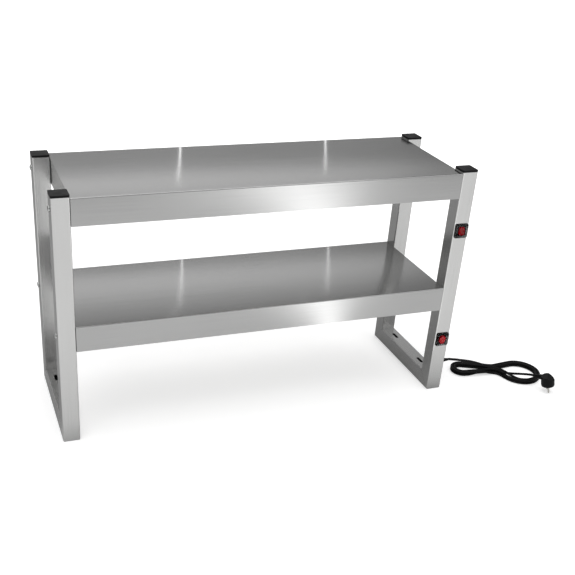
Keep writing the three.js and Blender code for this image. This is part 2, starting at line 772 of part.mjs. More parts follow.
buildSupplyLead();
buildLampLead('upper', upperSwitchHeight, upperShelfTop);
buildLampLead('lower', lowerSwitchHeight, lowerShelfTop);

// Hank: one loop is a belt round four circles, a fold at the left, an open lobe at the right
// and a waist between them. Each turn keeps an inset from the outer loop and a height.
const cordRadius = cordDiameter / 2;
const cordPitch = cordDiameter + hankGap;
const waistHalfWidth = 2 * cordPitch;
const floorLayer = cordRadius + fitGap;
const topLayer = floorLayer + cordPitch;
const waistCentre = waistHalfWidth + hankWaistRadius;

const beltCircles = [
  { u: -hankFoldReach, v: hankFoldShift, r: hankFoldRadius },
  { u: 0, v: -waistCentre, r: -hankWaistRadius },
  { u: hankLobeReach, v: hankLobeShift, r: hankLobeRadius },
  { u: 0, v: waistCentre, r: -hankWaistRadius },
];

// Straight runs and arcs in travel order, starting with the near run that leaves the fold
function beltPieces() {
  const headings = beltCircles.map((from, i) => {
    const to = beltCircles[(i + 1) % beltCircles.length];
    const span = Math.hypot(to.u - from.u, to.v - from.v);
    return Math.atan2(to.v - from.v, to.u - from.u) - Math.asin((to.r - from.r) / span);
  });
  const pieces = [];
  beltCircles.forEach((from, i) => {
    const to = beltCircles[(i + 1) % beltCircles.length];
    const heading = headings[i];
    const start = [from.u + from.r * Math.sin(heading), from.v - from.r * Math.cos(heading)];
    const stop = [to.u + to.r * Math.sin(heading), to.v - to.r * Math.cos(heading)];
    const run = Math.hypot(stop[0] - start[0], stop[1] - start[1]);
    pieces.push({ start, heading, length: run });
    const next = headings[(i + 1) % headings.length];
    const ahead = to.r > 0 ? 1 : -1;
    const turn = ahead * THREE.MathUtils.euclideanModulo(ahead * (next - heading), 2 * Math.PI);
    pieces.push({ circle: to, heading, turn, length: Math.abs(to.r * turn) });
  });
  return pieces;
}

const belt = beltPieces();
const beltLength = belt.reduce((sum, piece) => sum + piece.length, 0);

function beltPlace(distance, inset) {
  let along = THREE.MathUtils.euclideanModulo(distance, beltLength);
  let piece = belt[belt.length - 1];
  for (const candidate of belt) {
    piece = candidate;
    if (along <= candidate.length) break;
    along -= candidate.length;
  }
  if (!piece.circle) {
    const u = piece.start[0] + along * Math.cos(piece.heading) - inset * Math.sin(piece.heading);
    const v = piece.start[1] + along * Math.sin(piece.heading) + inset * Math.cos(piece.heading);
    return { u, v };
  }
  const heading = piece.heading + (piece.turn * along) / piece.length;
  const radius = piece.circle.r - inset;
  const u = piece.circle.u + radius * Math.sin(heading);
  return { u, v: piece.circle.v - radius * Math.cos(heading) };
}

function ease(distance, start, length) {
  const t = THREE.MathUtils.clamp((distance - start) / length, 0, 1);
  return (1 - Math.cos(Math.PI * t)) / 2;
}

function fromHank(u, v, z) {
  const angle = THREE.MathUtils.degToRad(hankAngle);
  const x = hankX + u * Math.cos(angle) - v * Math.sin(angle);
  return new THREE.Vector3(x, hankY + u * Math.sin(angle) + v * Math.cos(angle), z);
}

// The cord comes in on top inside, moves out, drops to the counter outside and ends inside
function hankPoint(distance) {
  const out = ease(distance, beltLength + hankLiftStart, hankShiftLength);
  const down = ease(distance, 2 * beltLength + hankDropStart, hankShiftLength);
  const back = ease(distance, 3 * beltLength + hankTuckStart, hankShiftLength);
  const inside = ease(distance, hankTurns * beltLength + hankTuckStart, hankShiftLength);
  const entry = THREE.MathUtils.clamp(1 - (distance - hankEntryStart) / hankEntryLength, 0, 1);
  const z = topLayer + (floorLayer - topLayer) * down + hankEntryRise * entry * entry;
  const place = beltPlace(distance, cordPitch * (1 - out + back + inside));
  return fromHank(place.u, place.v, z);
}

// Every turn is cut at the same places, so that neighbouring turns stay parallel
function beltStations() {
  const stations = [];
  let at = 0;
  for (const piece of belt) {
    const count = Math.ceil(piece.circle ? Math.abs(piece.turn) / hankArcStep : piece.length / hankRunStep);
    for (let k = 0; k < count; k += 1) stations.push(at + (piece.length * k) / count);
    at += piece.length;
  }
  return stations;
}

// The tube starts one cord diameter before its first place and ends one past its last
function hankPoints() {
  const stations = beltStations();
  const firstIndex = stations.findIndex((station) => station >= hankEntryStart);
  const lastIndex = stations.findIndex((station) => station > belt[0].length + fitGap);
  const places = [];
  for (let turn = 0; turn <= hankTurns; turn += 1) {
    for (const station of stations) places.push(turn * beltLength + station);
  }
  const lastPlace = hankTurns * stations.length + lastIndex;
  const points = places.slice(firstIndex - 1, lastPlace + 2).map(hankPoint);
  points[0] = points[1].clone().addScaledVector(points[0].sub(points[1]).normalize(), cordDiameter);
  const end = points.pop().sub(points.at(-1)).normalize();
  points.push(points.at(-1).clone().addScaledVector(end, cordDiameter));
  return points;
}

// A capped tube through the points, its rings carried along without twist
function ringTube(points, diameter, sides) {
  const positions = [];
  const index = [];
  const tangents = points.map((point, i) => {
    const before = points[Math.max(i - 1, 0)];
    const after = points[Math.min(i + 1, points.length - 1)];
    return after.clone().sub(before).normalize();
  });
  let normal = new THREE.Vector3(0, 0, 1).cross(tangents[0]).normalize();
  points.forEach((point, i) => {
    normal = normal.clone().addScaledVector(tangents[i], -normal.dot(tangents[i])).normalize();
    const binormal = tangents[i].clone().cross(normal);
    for (let k = 0; k < sides; k += 1) {
      const angle = (2 * Math.PI * k) / sides;
      const corner = point.clone().addScaledVector(normal, (diameter / 2) * Math.cos(angle));
      corner.addScaledVector(binormal, (diameter / 2) * Math.sin(angle));
      positions.push(corner.x, corner.y, corner.z);
      const next = (k + 1) % sides;
      if (i > 0) {
        const low = (i - 1) * sides;
        const high = i * sides;
        index.push(low + k, low + next, high + next, low + k, high + next, high + k);
      }
    }
  });
  const lastRing = (points.length - 1) * sides;
  for (let k = 1; k < sides - 1; k += 1) {
    index.push(0, k + 1, k, lastRing, lastRing + k, lastRing + k + 1);
  }
  const geometry = new THREE.BufferGeometry();
  geometry.setAttribute('position', new THREE.Float32BufferAttribute(positions, 3));
  geometry.setIndex(index);
  geometry.computeVertexNormals();
  return geometry;
}

function pathLength(points) {
  return points.slice(1).reduce((sum, point, i) => sum + point.distanceTo(points[i]), 0);
}

// The least air between one stretch of the tube and another, on points along its middle
function leastGap(points, diameter) {
  const fine = [];
  const step = diameter / 4;
  points.slice(1).forEach((point, i) => {
    const span = point.distanceTo(points[i]);
    const count = Math.ceil(span / step);
    for (let k = 0; k < count; k += 1) fine.push(points[i].clone().lerp(point, k / count));
  });
  let least = Infinity;
  const apart = Math.ceil((3 * diameter) / step);
  for (let i = 0; i < fine.length; i += 1) {
    for (let j = i + apart; j < fine.length; j += 1) {
      least = Math.min(least, fine[i].distanceTo(fine[j]));
    }
  }
  return least - diameter;
}

const hankRoute = hankPoints();
addPiece('cord_hank', ringTube(hankRoute, cordDiameter, hankSides), blackRubber);

// Free stretches: strain relief to hank, and hank to plug
const toVector = ([x, y, z]) => new THREE.Vector3(x, y, z);

// Both ends run straight for one cord diameter
function stretch(name, start, heading, middle, stop, arrival, steps) {
  const leave = start.clone().addScaledVector(heading, cordDiameter);
  const arrive = stop.clone().addScaledVector(arrival, -cordDiameter);
  const points = [start, leave, ...middle.map(toVector), arrive, stop];
  addPiece(name, tubeAlong(points, cordDiameter, steps, strandSides), blackRubber);
  return new THREE.CatmullRomCurve3(points, false, 'centripetal').getLength();
}

const reliefTip = new THREE.Vector3(halfWidth + reliefLength + fitGap, frontPostY, cordExitHeight);
const outward = new THREE.Vector3(1, 0, 0);
const entryHeading = hankRoute[1].clone().sub(hankRoute[0]).normalize();
const hankStart = hankRoute[0].clone().addScaledVector(entryHeading, -fitGap);
const exitHeading = hankRoute.at(-1).clone().sub(hankRoute.at(-2)).normalize();
const hankStop = hankRoute.at(-1).clone().addScaledVector(exitHeading, fitGap);

// Plug: a round face, a sloping back and a neck that the cord enters from one side
const exitAngle = THREE.MathUtils.degToRad(plugExitAngle);
const droop = THREE.MathUtils.degToRad(plugNeckDroop);
const neckOut = new THREE.Vector3(
  Math.cos(exitAngle) * Math.cos(droop),
  Math.sin(exitAngle) * Math.cos(droop),
  -Math.sin(droop),
);
const neckRoot = new THREE.Vector3(0, 0, plugPinLength + plugNeckHeight);

// The plug leans about the line through its two pin tips
const pinAngle = THREE.MathUtils.degToRad(plugPinAngle);
const lean = THREE.MathUtils.degToRad(plugLean);
const pinLine = new THREE.Vector3(Math.cos(pinAngle), Math.sin(pinAngle), 0);
const plug = new THREE.Group();
plug.position.set(plugX, plugY, (plugPinDiameter / 2) * Math.sin(lean));
plug.quaternion.setFromAxisAngle(pinLine, -lean);
plug.updateMatrixWorld(true);
stand.add(plug);
const neckTip = plug.localToWorld(neckRoot.clone().addScaledVector(neckOut, plugNeckLength + fitGap));

function buildPlug() {
  const face = plugFaceDiameter / 2;
  const body = turned([
    [0, 0],
    [face - plugEdge, 0],
    [face, plugEdge],
    [face, plugHeight - plugEdge],
    [face - plugEdge, plugHeight],
    [0, plugHeight],
  ], plugFaceSides);
  const backCut = block(plugHeight * 2, plugHeight * 2, plugHeight, -plugHeight, 0, plugHeight / 2);
  backCut.rotateY(THREE.MathUtils.degToRad(-plugSlope)).rotateZ(exitAngle).translate(0, 0, plugHeight);
  const neck = new THREE.CylinderGeometry(
    plugNeckTipDiameter / 2,
    plugNeckRootDiameter / 2,
    plugNeckLength,
    smallRoundSides,
  );
  neck.translate(0, plugNeckLength / 2, 0);
  const turn = new THREE.Quaternion().setFromUnitVectors(new THREE.Vector3(0, 1, 0), neckOut);
  neck.applyQuaternion(turn).translate(0, 0, plugNeckHeight);
  const tools = [];
  for (const side of [-1, 1]) {
    const reach = (side * plugPinSpacing) / 2;
    const depth = plugPinSeat + cutOverrun;
    const diameter = plugPinDiameter + 2 * fitGap;
    const socket = rod(diameter, depth, 'z', 0, 0, depth / 2 - cutOverrun, smallRoundSides);
    tools.push(socket.translate(pinLine.x * reach, pinLine.y * reach, 0));
    const notch = block(earthNotchDepth * 2, earthNotchWidth, 2 * earthNotchHeight, side * face, 0, 0);
    tools.push(notch.rotateZ(pinAngle + Math.PI / 2));
  }
  const moulding = cut(join(cut(body, backCut), neck), ...tools);
  addPiece('plug_body', moulding.translate(0, 0, plugPinLength), blackRubber, plug);
  for (const side of [-1, 1]) {
    const radius = plugPinDiameter / 2;
    const pin = turned([
      [0, 0],
      [radius / 2, 0],
      [radius, radius],
      [radius, plugPinLength + plugPinSeat - fitGap],
      [0, plugPinLength + plugPinSeat - fitGap],
    ], smallRoundSides);
    const reach = (side * plugPinSpacing) / 2;
    pin.translate(pinLine.x * reach, pinLine.y * reach, 0);
    addPiece(side < 0 ? 'plug_pin_near' : 'plug_pin_far', pin, nickel, plug);
  }
}

const lengthToHank = stretch(
  'cord_to_hank',
  reliefTip,
  outward,
  cordToHankRoute,
  hankStart,
  entryHeading,
  toHankSteps,
);
const neckIn = neckOut.clone().applyQuaternion(plug.quaternion).negate();
const lengthToPlug = stretch(
  'cord_to_plug',
  hankStop,
  exitHeading,
  cordToPlugRoute,
  neckTip,
  neckIn,
  toPlugSteps,
);
buildPlug();

const hankLength = pathLength(hankRoute);
const gapLeft = leastGap(hankRoute, cordDiameter);
const lengths = [lengthToHank, hankLength, lengthToPlug];
const cordLength = lengths.reduce((sum, length) => sum + length, 0);
console.log(`hank: least gap to itself ${gapLeft.toFixed(2)} mm, ${hankRoute.length} rings`);
console.log(`cord: ${lengths.map((length) => length.toFixed(0)).join(' + ')} = ${cordLength.toFixed(0)} mm`);

export default stand;
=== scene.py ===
"""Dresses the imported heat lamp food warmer: brushed steel, quartz lamps, switches and a mains cord."""

import math

import bmesh
import bpy
from mathutils import Matrix, Vector


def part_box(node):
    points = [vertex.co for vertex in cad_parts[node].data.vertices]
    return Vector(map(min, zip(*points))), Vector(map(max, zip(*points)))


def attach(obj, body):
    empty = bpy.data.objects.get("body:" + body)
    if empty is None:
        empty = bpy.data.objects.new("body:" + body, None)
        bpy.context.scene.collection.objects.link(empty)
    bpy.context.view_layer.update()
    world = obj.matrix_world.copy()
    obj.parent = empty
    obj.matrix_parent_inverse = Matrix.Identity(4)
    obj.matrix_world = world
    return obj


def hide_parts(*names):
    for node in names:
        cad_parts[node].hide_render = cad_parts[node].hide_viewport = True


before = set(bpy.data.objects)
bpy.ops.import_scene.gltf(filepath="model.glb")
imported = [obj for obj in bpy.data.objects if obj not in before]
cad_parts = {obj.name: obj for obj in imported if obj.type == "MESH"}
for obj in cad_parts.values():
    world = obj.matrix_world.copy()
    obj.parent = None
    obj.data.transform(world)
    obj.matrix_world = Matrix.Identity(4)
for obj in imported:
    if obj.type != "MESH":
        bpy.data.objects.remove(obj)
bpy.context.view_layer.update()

bl_info = {
    "name": "Heat Lamp Food Warmer",
    "version": (1, 0, 0),
    "blender": (4, 5, 0),
    "location": "View3D > Sidebar > Food Warmer",
    "description": "Builds the looks of a two-tier heat lamp food warmer round its packed model",
    "category": "Object",
}

MM = 0.001
SHELVES = ("upper", "lower")
SIDES = ("left", "right")
ENDS = ("front", "rear")

# Points closer than this are one point
WELD_DISTANCE = 0.002 * MM

# Turns a piece modelled along Z to lie along X
ALONG_X = Matrix.Rotation(math.pi / 2, 4, "Y")


def length_property(name, description, default, low, high):
    """A length that a user may change, given in millimetres."""
    return bpy.props.FloatProperty(
        name=name,
        description=description,
        default=default * MM,
        min=low * MM,
        max=high * MM,
        unit="LENGTH",
        precision=4,
    )


def colour_property(name, description, default):
    """A colour that a user may change, as linear red, green and blue."""
    return bpy.props.FloatVectorProperty(
        name=name, description=description, subtype="COLOR", size=3, default=default, min=0, max=1
    )


class WarmerSizes(bpy.types.PropertyGroup):
    """Sizes of the dressed pieces."""

    cord_diameter: length_property("Cord Diameter", "Outside diameter of the mains cord", 6.6, 4, 10)
    sheet_thickness: length_property("Sheet Thickness", "Thickness of the folded shelf sheet", 1.2, 0.6, 3)
    fold_radius: length_property("Fold Radius", "Outside radius of a shelf's front and rear folds", 2.4, 0.5, 6)
    wire_diameter: length_property("Guard Wire", "Diameter of the wires of the lamp guard", 2.6, 1.5, 4)
    coil_pitch: length_property("Filament Pitch", "Distance between the turns of a lamp's filament", 2.4, 1, 6)


class WarmerColours(bpy.types.PropertyGroup):
    """Colours of the finishes."""

    steel: colour_property("Tube Steel", "Colour of the brushed posts and base rails", (0.53, 0.53, 0.525))
    sheet: colour_property("Sheet Steel", "Colour of the brushed shelves", (0.38, 0.38, 0.378))
    # The upper rocker's darker red is painted shade
    rocker: colour_property("Rocker", "Colour of the lower rocker; the upper is darker", (0.42, 0.0015, 0.007))
    rubber: colour_property("Cord Black", "Colour of the cord and its mouldings", (0.0035, 0.0035, 0.0038))
    plastic: colour_property("Cap Black", "Colour of the post caps and switches", (0.0055, 0.0055, 0.006))
    ceramic: colour_property("Ceramic", "Colour of the lamp holders and terminal blocks", (0.76, 0.71, 0.6))


def sizes():
    return bpy.context.scene.warmer_sizes


def colours():
    return bpy.context.scene.warmer_colours


# Modelling helpers


def mm(*values):
    """Millimetres as metres, as one place or size."""
    return tuple(value * MM for value in values)


def clear_selection():
    """Leaves edit mode and deselects every object."""
    if bpy.context.object and bpy.context.object.mode != "OBJECT":
        bpy.ops.object.mode_set(mode="OBJECT")
    bpy.ops.object.select_all(action="DESELECT")


def pick(*pieces):
    """Selects only these pieces and makes the first one active."""
    clear_selection()
    for piece in pieces:
        piece.select_set(True)
    bpy.context.view_layer.objects.active = pieces[0]


def bake_place(piece):
    """Moves a piece's place into its mesh, so that its object sits at the origin."""
    pick(piece)
    bpy.ops.object.transform_apply(location=True, rotation=True, scale=True)


def put(piece, matrix):
    """Places a piece that was modelled at the origin."""
    piece.matrix_world = matrix
    bake_place(piece)
    return piece


def turn_to(way):
    """The turn from Z to a direction."""
    return Vector((0, 0, 1)).rotation_difference(way).to_matrix().to_4x4()


def enter_edit(piece):
    pick(piece)
    bpy.ops.object.mode_set(mode="EDIT")


def leave_edit():
    bpy.ops.object.mode_set(mode="OBJECT")


def choose(piece, faces=None, edges=None):
    """In edit mode, selects the faces or the edges that pass a test."""
    enter_edit(piece)
    bpy.ops.mesh.select_mode(type="FACE" if faces else "EDGE")
    bpy.ops.mesh.select_all(action="DESELECT")
    mesh = bmesh.from_edit_mesh(piece.data)
    if faces:
        for face in mesh.faces:
            face.select_set(bool(faces(face.calc_center_median(), face.normal)))
    else:
        for edge in mesh.edges:
            a, b = (vertex.co for vertex in edge.verts)
            edge.select_set(bool(edges((a + b) / 2, (b - a).normalized())))
    mesh.select_flush_mode()
    bmesh.update_edit_mesh(piece.data)


def grow(offset):
    """Extrudes the selection and moves it."""
    bpy.ops.mesh.extrude_region_move(TRANSFORM_OT_translate={"value": offset})


def close_seams():
    """In edit mode, merges doubled points and turns the faces outwards."""
    bpy.ops.mesh.select_all(action="SELECT")
    bpy.ops.mesh.remove_doubles(threshold=WELD_DISTANCE)
    bpy.ops.mesh.normals_make_consistent(inside=False)
    leave_edit()


def modify(piece, kind, **settings):
    """Gives a piece a modifier with these settings and applies it."""
    pick(piece)
    modifier = piece.modifiers.new(kind.title(), kind)
    for key, value in settings.items():
        setattr(modifier, key, value)
    bpy.ops.object.modifier_apply(modifier=modifier.name)


def just_made(name):
    """Names the object that an operator has just made."""
    piece = bpy.context.object
    piece.name = name
    return piece


def block(name, low, high):
    """A box between two corners, as a start for a piece."""
    low, high = Vector(low), Vector(high)
    clear_selection()
    bpy.ops.mesh.primitive_cube_add(size=1, location=(low + high) / 2, scale=high - low)
    piece = just_made(name)
    bake_place(piece)
    return piece


def solid(name, low, high):
    """A box between two corners in millimetres."""
    return block(name, mm(*low), mm(*high))


def bar(name, diameter, start, stop, sides=24):
    """A round bar between two points."""
    start, stop = Vector(start), Vector(stop)
    along = stop - start
    clear_selection()
    bpy.ops.mesh.primitive_cylinder_add(vertices=sides, radius=diameter / 2, depth=along.length)
    return put(just_made(name), Matrix.Translation((start + stop) / 2) @ turn_to(along))


def cross_bar(name, diameter, half, y=0, sides=20):
    """A round bar along X about a place in Y, in millimetres."""
    return bar(name, diameter * MM, mm(-half, y, 0), mm(half, y, 0), sides)


def turned(name, profile, steps=32):
    """Spins a profile of (radius, height) points in millimetres round Z, as on a lathe."""
    points = [Vector((radius * MM, 0, height * MM)) for radius, height in profile]
    clear_selection()
    bpy.ops.mesh.primitive_plane_add(size=MM, location=points[0])
    piece = just_made(name)
    bake_place(piece)
    bpy.ops.object.mode_set(mode="EDIT")
    bpy.ops.mesh.select_mode(type="VERT")
    bpy.ops.mesh.select_all(action="SELECT")
    bpy.ops.mesh.merge(type="CENTER")
    for last, point in zip(points, points[1:]):
        grow(point - last)
    bpy.ops.mesh.select_all(action="SELECT")
    bpy.ops.mesh.spin(steps=steps, angle=2 * math.pi, center=(0, 0, 0), axis=(0, 0, 1))
    close_seams()
    return piece


def quarter(steps):
    """The angles of a quarter turn, in even steps."""
    return [math.pi / 2 * k / steps for k in range(steps + 1)]


def round_edges(piece, width, segments=3, angle=35):
    """Rounds every edge sharper than the angle."""
    limit = math.radians(angle)
    modify(piece, "BEVEL", width=width, segments=segments, limit_method="ANGLE", angle_limit=limit)


def bevel_where(piece, test, width, segments=4):
    """Rounds the edges whose middle and direction pass the test."""
    choose(piece, edges=test)
    bpy.ops.mesh.bevel(offset=width, segments=segments, affect="EDGES")
    leave_edit()


def runs_along(axis):
    """A test for the edges along one axis, 0 to 2."""
    return lambda middle, way: abs(way[axis]) > 0.9


def faces_down(middle, normal):
    return normal.z < -0.9


def cut_away(piece, *tools):
    """Cuts the tools out of the piece and removes them."""
    for tool in tools:
        modify(piece, "BOOLEAN", operation="DIFFERENCE", solver="EXACT", object=tool)
        bpy.data.objects.remove(tool)


def weld(piece, *others):
    """Joins other closed pieces into this one."""
    for other in others:
        modify(piece, "BOOLEAN", operation="UNION", solver="EXACT", object=other)
        bpy.data.objects.remove(other)


def smooth(piece, angle=32):
    """Shades a piece smooth, up to edges sharper than the angle."""
    pick(piece)
    bpy.ops.object.shade_smooth_by_angle(angle=math.radians(angle))


def smooth_all(piece):
    pick(piece)
    bpy.ops.object.shade_smooth()


def copy_of(piece, name, matrix):
    """A copy with a mesh of its own, placed by a matrix."""
    twin = piece.copy()
    twin.data = piece.data.copy()
    twin.name = name
    bpy.context.scene.collection.objects.link(twin)
    return put(twin, matrix)


def centre(node):
    low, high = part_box(node)
    return (low + high) / 2


def coat_with(piece, material):
    """Gives a piece one material, in place of any it has."""
    piece.data.materials.clear()
    piece.data.materials.append(material)


def dress(piece, material, body="stand", stands_for=()):
    """Gives a finished piece its material, its body and the nodes that it stands for."""
    coat_with(piece, material)
    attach(piece, body)
    if stands_for:
        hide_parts(*stands_for)


def dress_copies(piece, material, rows):
    """Dresses a copy of a piece for each row of name, node and place, and removes the piece."""
    for name, node, place in rows:
        dress(copy_of(piece, name, place), material, stands_for=(node,))
    bpy.data.objects.remove(piece)


def finish_node(node, material):
    """Gives a CAD node that stays its material."""
    coat_with(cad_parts[node], material)


# Materials


class Nodes:
    """A node tree with short names for its nodes and links."""

    def __init__(self, tree):
        self.tree = tree

    def node(self, kind, **settings):
        made = self.tree.nodes.new("ShaderNode" + kind)
        for key, value in settings.items():
            setattr(made, key, value)
        return made

    def link(self, source, target):
        self.tree.links.new(source, target)

    def math(self, operation, *values):
        """A math node fed by sockets or numbers."""
        node = self.node("Math", operation=operation)
        for socket, value in zip(node.inputs, values):
            if isinstance(value, (int, float)):
                socket.default_value = value
            else:
                self.link(value, socket)
        return node.outputs[0]

    def map_range(self, value, start, stop, low, high):
        """Maps the range from start to stop onto the one from low to high."""
        span = self.node("MapRange")
        for socket, number in zip(span.inputs[1:5], (start, stop, low, high)):
            socket.default_value = number
        self.link(value, span.inputs["Value"])
        return span.outputs["Result"]

    def ramp(self, value, stops):
        """A colour ramp through (position, colour or grey) stops."""
        ramp = self.node("ValToRGB")
        elements = ramp.color_ramp.elements
        elements.remove(elements[1])
        for index, (position, tone) in enumerate(stops):
            element = elements[0] if index == 0 else elements.new(position)
            element.position = position
            element.color = (tone, tone, tone, 1) if isinstance(tone, (int, float)) else (*tone, 1)
        self.link(value, ramp.inputs["Fac"])
        return ramp.outputs["Color"]

    def around(self, vector, middle, stops):
        """Grey by compass angle about a middle: 0 is the rear, 90 the right and 180 the front."""
        split = self.node("SeparateXYZ")
        self.link(vector, split.inputs[0])
        x = self.math("SUBTRACT", split.outputs["X"], middle[0])
        y = self.math("SUBTRACT", split.outputs["Y"], middle[1])
        turn = self.math("MULTIPLY_ADD", self.math("ARCTAN2", x, y), 0.5 / math.pi, 0.5)
        return self.ramp(turn, [(degrees / 360 + 0.5, grey) for degrees, grey in stops])


class Finish(Nodes):
    """A material made of noise on Object coordinates, round a Principled BSDF."""

    # Noise rarely leaves this part of 0 to 1
    NOISE_LOW, NOISE_HIGH = 0.3, 0.7

    def __init__(self, name, **values):
        self.material = bpy.data.materials.new(name)
        self.material.use_nodes = True
        super().__init__(self.material.node_tree)
        self.shader = self.tree.nodes["Principled BSDF"]
        for key, value in values.items():
            self.shader.inputs[key.replace("_", " ")].default_value = value

    def place(self, fineness=1):
        """Object coordinates in metres, made finer by one number or by one for each of X, Y and Z."""
        mapping = self.node("Mapping")
        scale = fineness if isinstance(fineness, tuple) else (fineness,) * 3
        mapping.inputs["Scale"].default_value = scale
        self.link(self.node("TexCoord").outputs["Object"], mapping.inputs["Vector"])
        return mapping.outputs["Vector"]

    def noise(self, fineness, detail=2.0, rough=0.55):
        noise = self.node("TexNoise")
        noise.inputs["Scale"].default_value = 1.0
        noise.inputs["Detail"].default_value = detail
        noise.inputs["Roughness"].default_value = rough
        self.link(self.place(fineness), noise.inputs["Vector"])
        return noise.outputs["Fac"]

    def colour(self, value, *stops):
        """Colour along a ramp of a 0 to 1 value."""
        self.link(self.ramp(value, stops), self.shader.inputs["Base Color"])

    def roughness(self, value, low, high):
        """Roughness that follows a noise value."""
        span = self.map_range(value, self.NOISE_LOW, self.NOISE_HIGH, low, high)
        self.link(span, self.shader.inputs["Roughness"])

    def bump(self, height, strength, depth):
        """Bump by a 0 to 1 value, its depth in millimetres."""
        bump = self.node("Bump")
        bump.inputs["Strength"].default_value = strength
        bump.inputs["Distance"].default_value = depth * MM
        self.link(height, bump.inputs["Height"])
        self.link(bump.outputs["Normal"], self.shader.inputs["Normal"])


def shade(colour, share):
    """A colour made darker or lighter by a share."""
    return tuple(min(1, max(0, channel * share)) for channel in colour)


# How fine brushed grain is across its lines, per metre
GRAIN = 800


def brushed_steel(name, colour, lines, across, rough, depth, pull):
    """Steel brushed one way.

    lines is the fineness of the grain on X, Y and Z. It pulls highlights out along across, by pull.
    """
    finish = Finish(name, Metallic=1.0, Anisotropic=pull)
    grain = finish.noise(lines, 4.0, 0.6)
    cloud = finish.noise((3, 5, 3))
    mixed = finish.math("MULTIPLY_ADD", cloud, 0.35, finish.math("MULTIPLY", grain, 0.65))
    finish.colour(mixed, (0.3, shade(colour, 0.9)), (0.5, colour), (0.7, shade(colour, 1.07)))
    finish.roughness(mixed, *rough)
    way = finish.node("CombineXYZ")
    for socket, value in zip(way.inputs, across):
        socket.default_value = value
    finish.link(way.outputs[0], finish.shader.inputs["Tangent"])
    finish.bump(grain, 1.0, depth)
    return finish.material


def tube_steel(name, lines, across):
    return brushed_steel(name, colours().steel, lines, across, (0.18, 0.26), 0.06, 0.8)


def upright_steel():
    """Tube brushed along its height."""
    return tube_steel("tube steel upright", (GRAIN, GRAIN, 5), (1, 1, 0))


def level_steel():
    """Tube brushed from front to rear."""
    return tube_steel("tube steel level", (GRAIN, 5, GRAIN), (1, 0, 1))


def shelf_steel():
    """Sheet brushed along the shelf."""
    lines, across = (4, GRAIN, GRAIN), (0, 1, 1)
    return brushed_steel("shelf sheet steel", colours().sheet, lines, across, (0.15, 0.2), 0.05, 0.5)


def polished_sheet():
    """Reflector sheet: bright, with rolling lines and faint heat tint."""
    finish = Finish("polished reflector", Metallic=1.0)
    rolled = finish.noise((4, 300, 300), 3.0)
    finish.colour(finish.noise((9, 14, 14)), (0.35, (0.86, 0.86, 0.85)), (0.7, (0.8, 0.78, 0.72)))
    finish.roughness(rolled, 0.1, 0.2)
    finish.bump(rolled, 0.04, 0.1)
    return finish.material


def plated_metal(name, colour, rough):
    """Plated fasteners and wire: slightly uneven plating."""
    finish = Finish(name, Metallic=1.0)
    patches = finish.noise(250, 3.0)
    finish.colour(patches, (0.3, shade(colour, 0.88)), (0.7, colour))
    finish.roughness(patches, rough * 0.8, rough * 1.3)
    finish.bump(patches, 0.05, 0.05)
    return finish.material


def zinc_plate():
    return plated_metal("zinc plate", (0.62, 0.63, 0.62), 0.26)


def nickel_plate():
    return plated_metal("nickel pin", (0.66, 0.64, 0.6), 0.2)


def wire_plate():
    return plated_metal("plated wire", (0.66, 0.66, 0.65), 0.2)


def grained_plastic(name, colour, rough, grain=0.12):
    """Moulded plastic with a fine spark-eroded grain."""
    finish = Finish(name, IOR=1.48, Specular_IOR_Level=0.13)
    speckle = finish.noise(1500)
    sweep = finish.noise(60)
    finish.colour(sweep, (0.3, shade(colour, 0.85)), (0.7, shade(colour, 1.25)))
    finish.roughness(sweep, rough * 0.85, rough * 1.15)
    finish.bump(speckle, grain, 0.06)
    return finish.material


def plug_rubber():
    return grained_plastic("plug rubber", colours().rubber, 0.34)


def cap_plastic():
    return grained_plastic("cap plastic", colours().plastic, 0.46)


def switch_plastic():
    return grained_plastic("switch plastic", colours().plastic, 0.2, 0.04)


def cord_sheath():
    """Satin black sheath with faint drawing lines and dust."""
    finish = Finish("cord sheath", IOR=1.5, Specular_IOR_Level=0.13)
    black = colours().rubber
    fine = finish.noise(700, 3.0)
    dust = finish.noise(45, 4.0, 0.6)
    finish.colour(dust, (0.35, black), (0.75, shade(black, 2.1)))
    finish.roughness(dust, 0.34, 0.5)
    finish.bump(fine, 0.08, 0.08)
    return finish.material


def glazed_ceramic():
    """Pale steatite with small pores."""
    finish = Finish("ceramic")
    stain = finish.noise(70, 3.0)
    colour = colours().ceramic
    finish.colour(stain, (0.3, shade(colour, 0.85)), (0.65, colour))
    finish.roughness(stain, 0.5, 0.65)
    finish.bump(finish.noise(900), 0.2, 0.1)
    return finish.material


def lamp_quartz():
    """Clear quartz with a warm stain, thin enough to see the filament."""
    finish = Finish("lamp quartz", Transmission_Weight=1.0, IOR=1.2)
    haze = finish.noise(30)
    finish.colour(haze, (0.3, (0.95, 0.86, 0.74)), (0.7, (0.98, 0.94, 0.88)))
    finish.roughness(haze, 0.02, 0.08)
    return finish.material


def filament_wire():
    """Grey coiled resistance wire, unlit."""
    finish = Finish("filament wire", Metallic=0.9)
    scale = finish.noise(400, 3.0)
    finish.colour(scale, (0.3, (0.17, 0.15, 0.13)), (0.7, (0.34, 0.3, 0.26)))
    finish.roughness(scale, 0.35, 0.55)
    return finish.material


def rocker_red(name, share):
    """Red rocker with a soft moulded mottle, darkened by a share, which paints shade on the upper rocker."""
    finish = Finish(name, IOR=1.49, Specular_IOR_Level=0.12)
    colour = shade(colours().rocker, share)
    mottle = finish.noise(160)
    finish.colour(mottle, (0.3, shade(colour, 0.75)), (0.7, colour))
    finish.roughness(mottle, 0.16, 0.26)
    finish.bump(mottle, 0.03, 0.1)
    return finish.material


def clear_boot():
    """Clear soft cover over a switch, a little cloudy."""
    finish = Finish("clear boot", Transmission_Weight=1.0, IOR=1.12)
    cloud = finish.noise(120)
    finish.colour(cloud, (0.3, (0.88, 0.88, 0.88)), (0.7, (0.97, 0.97, 0.97)))
    finish.roughness(cloud, 0.0, 0.03)
    return finish.material


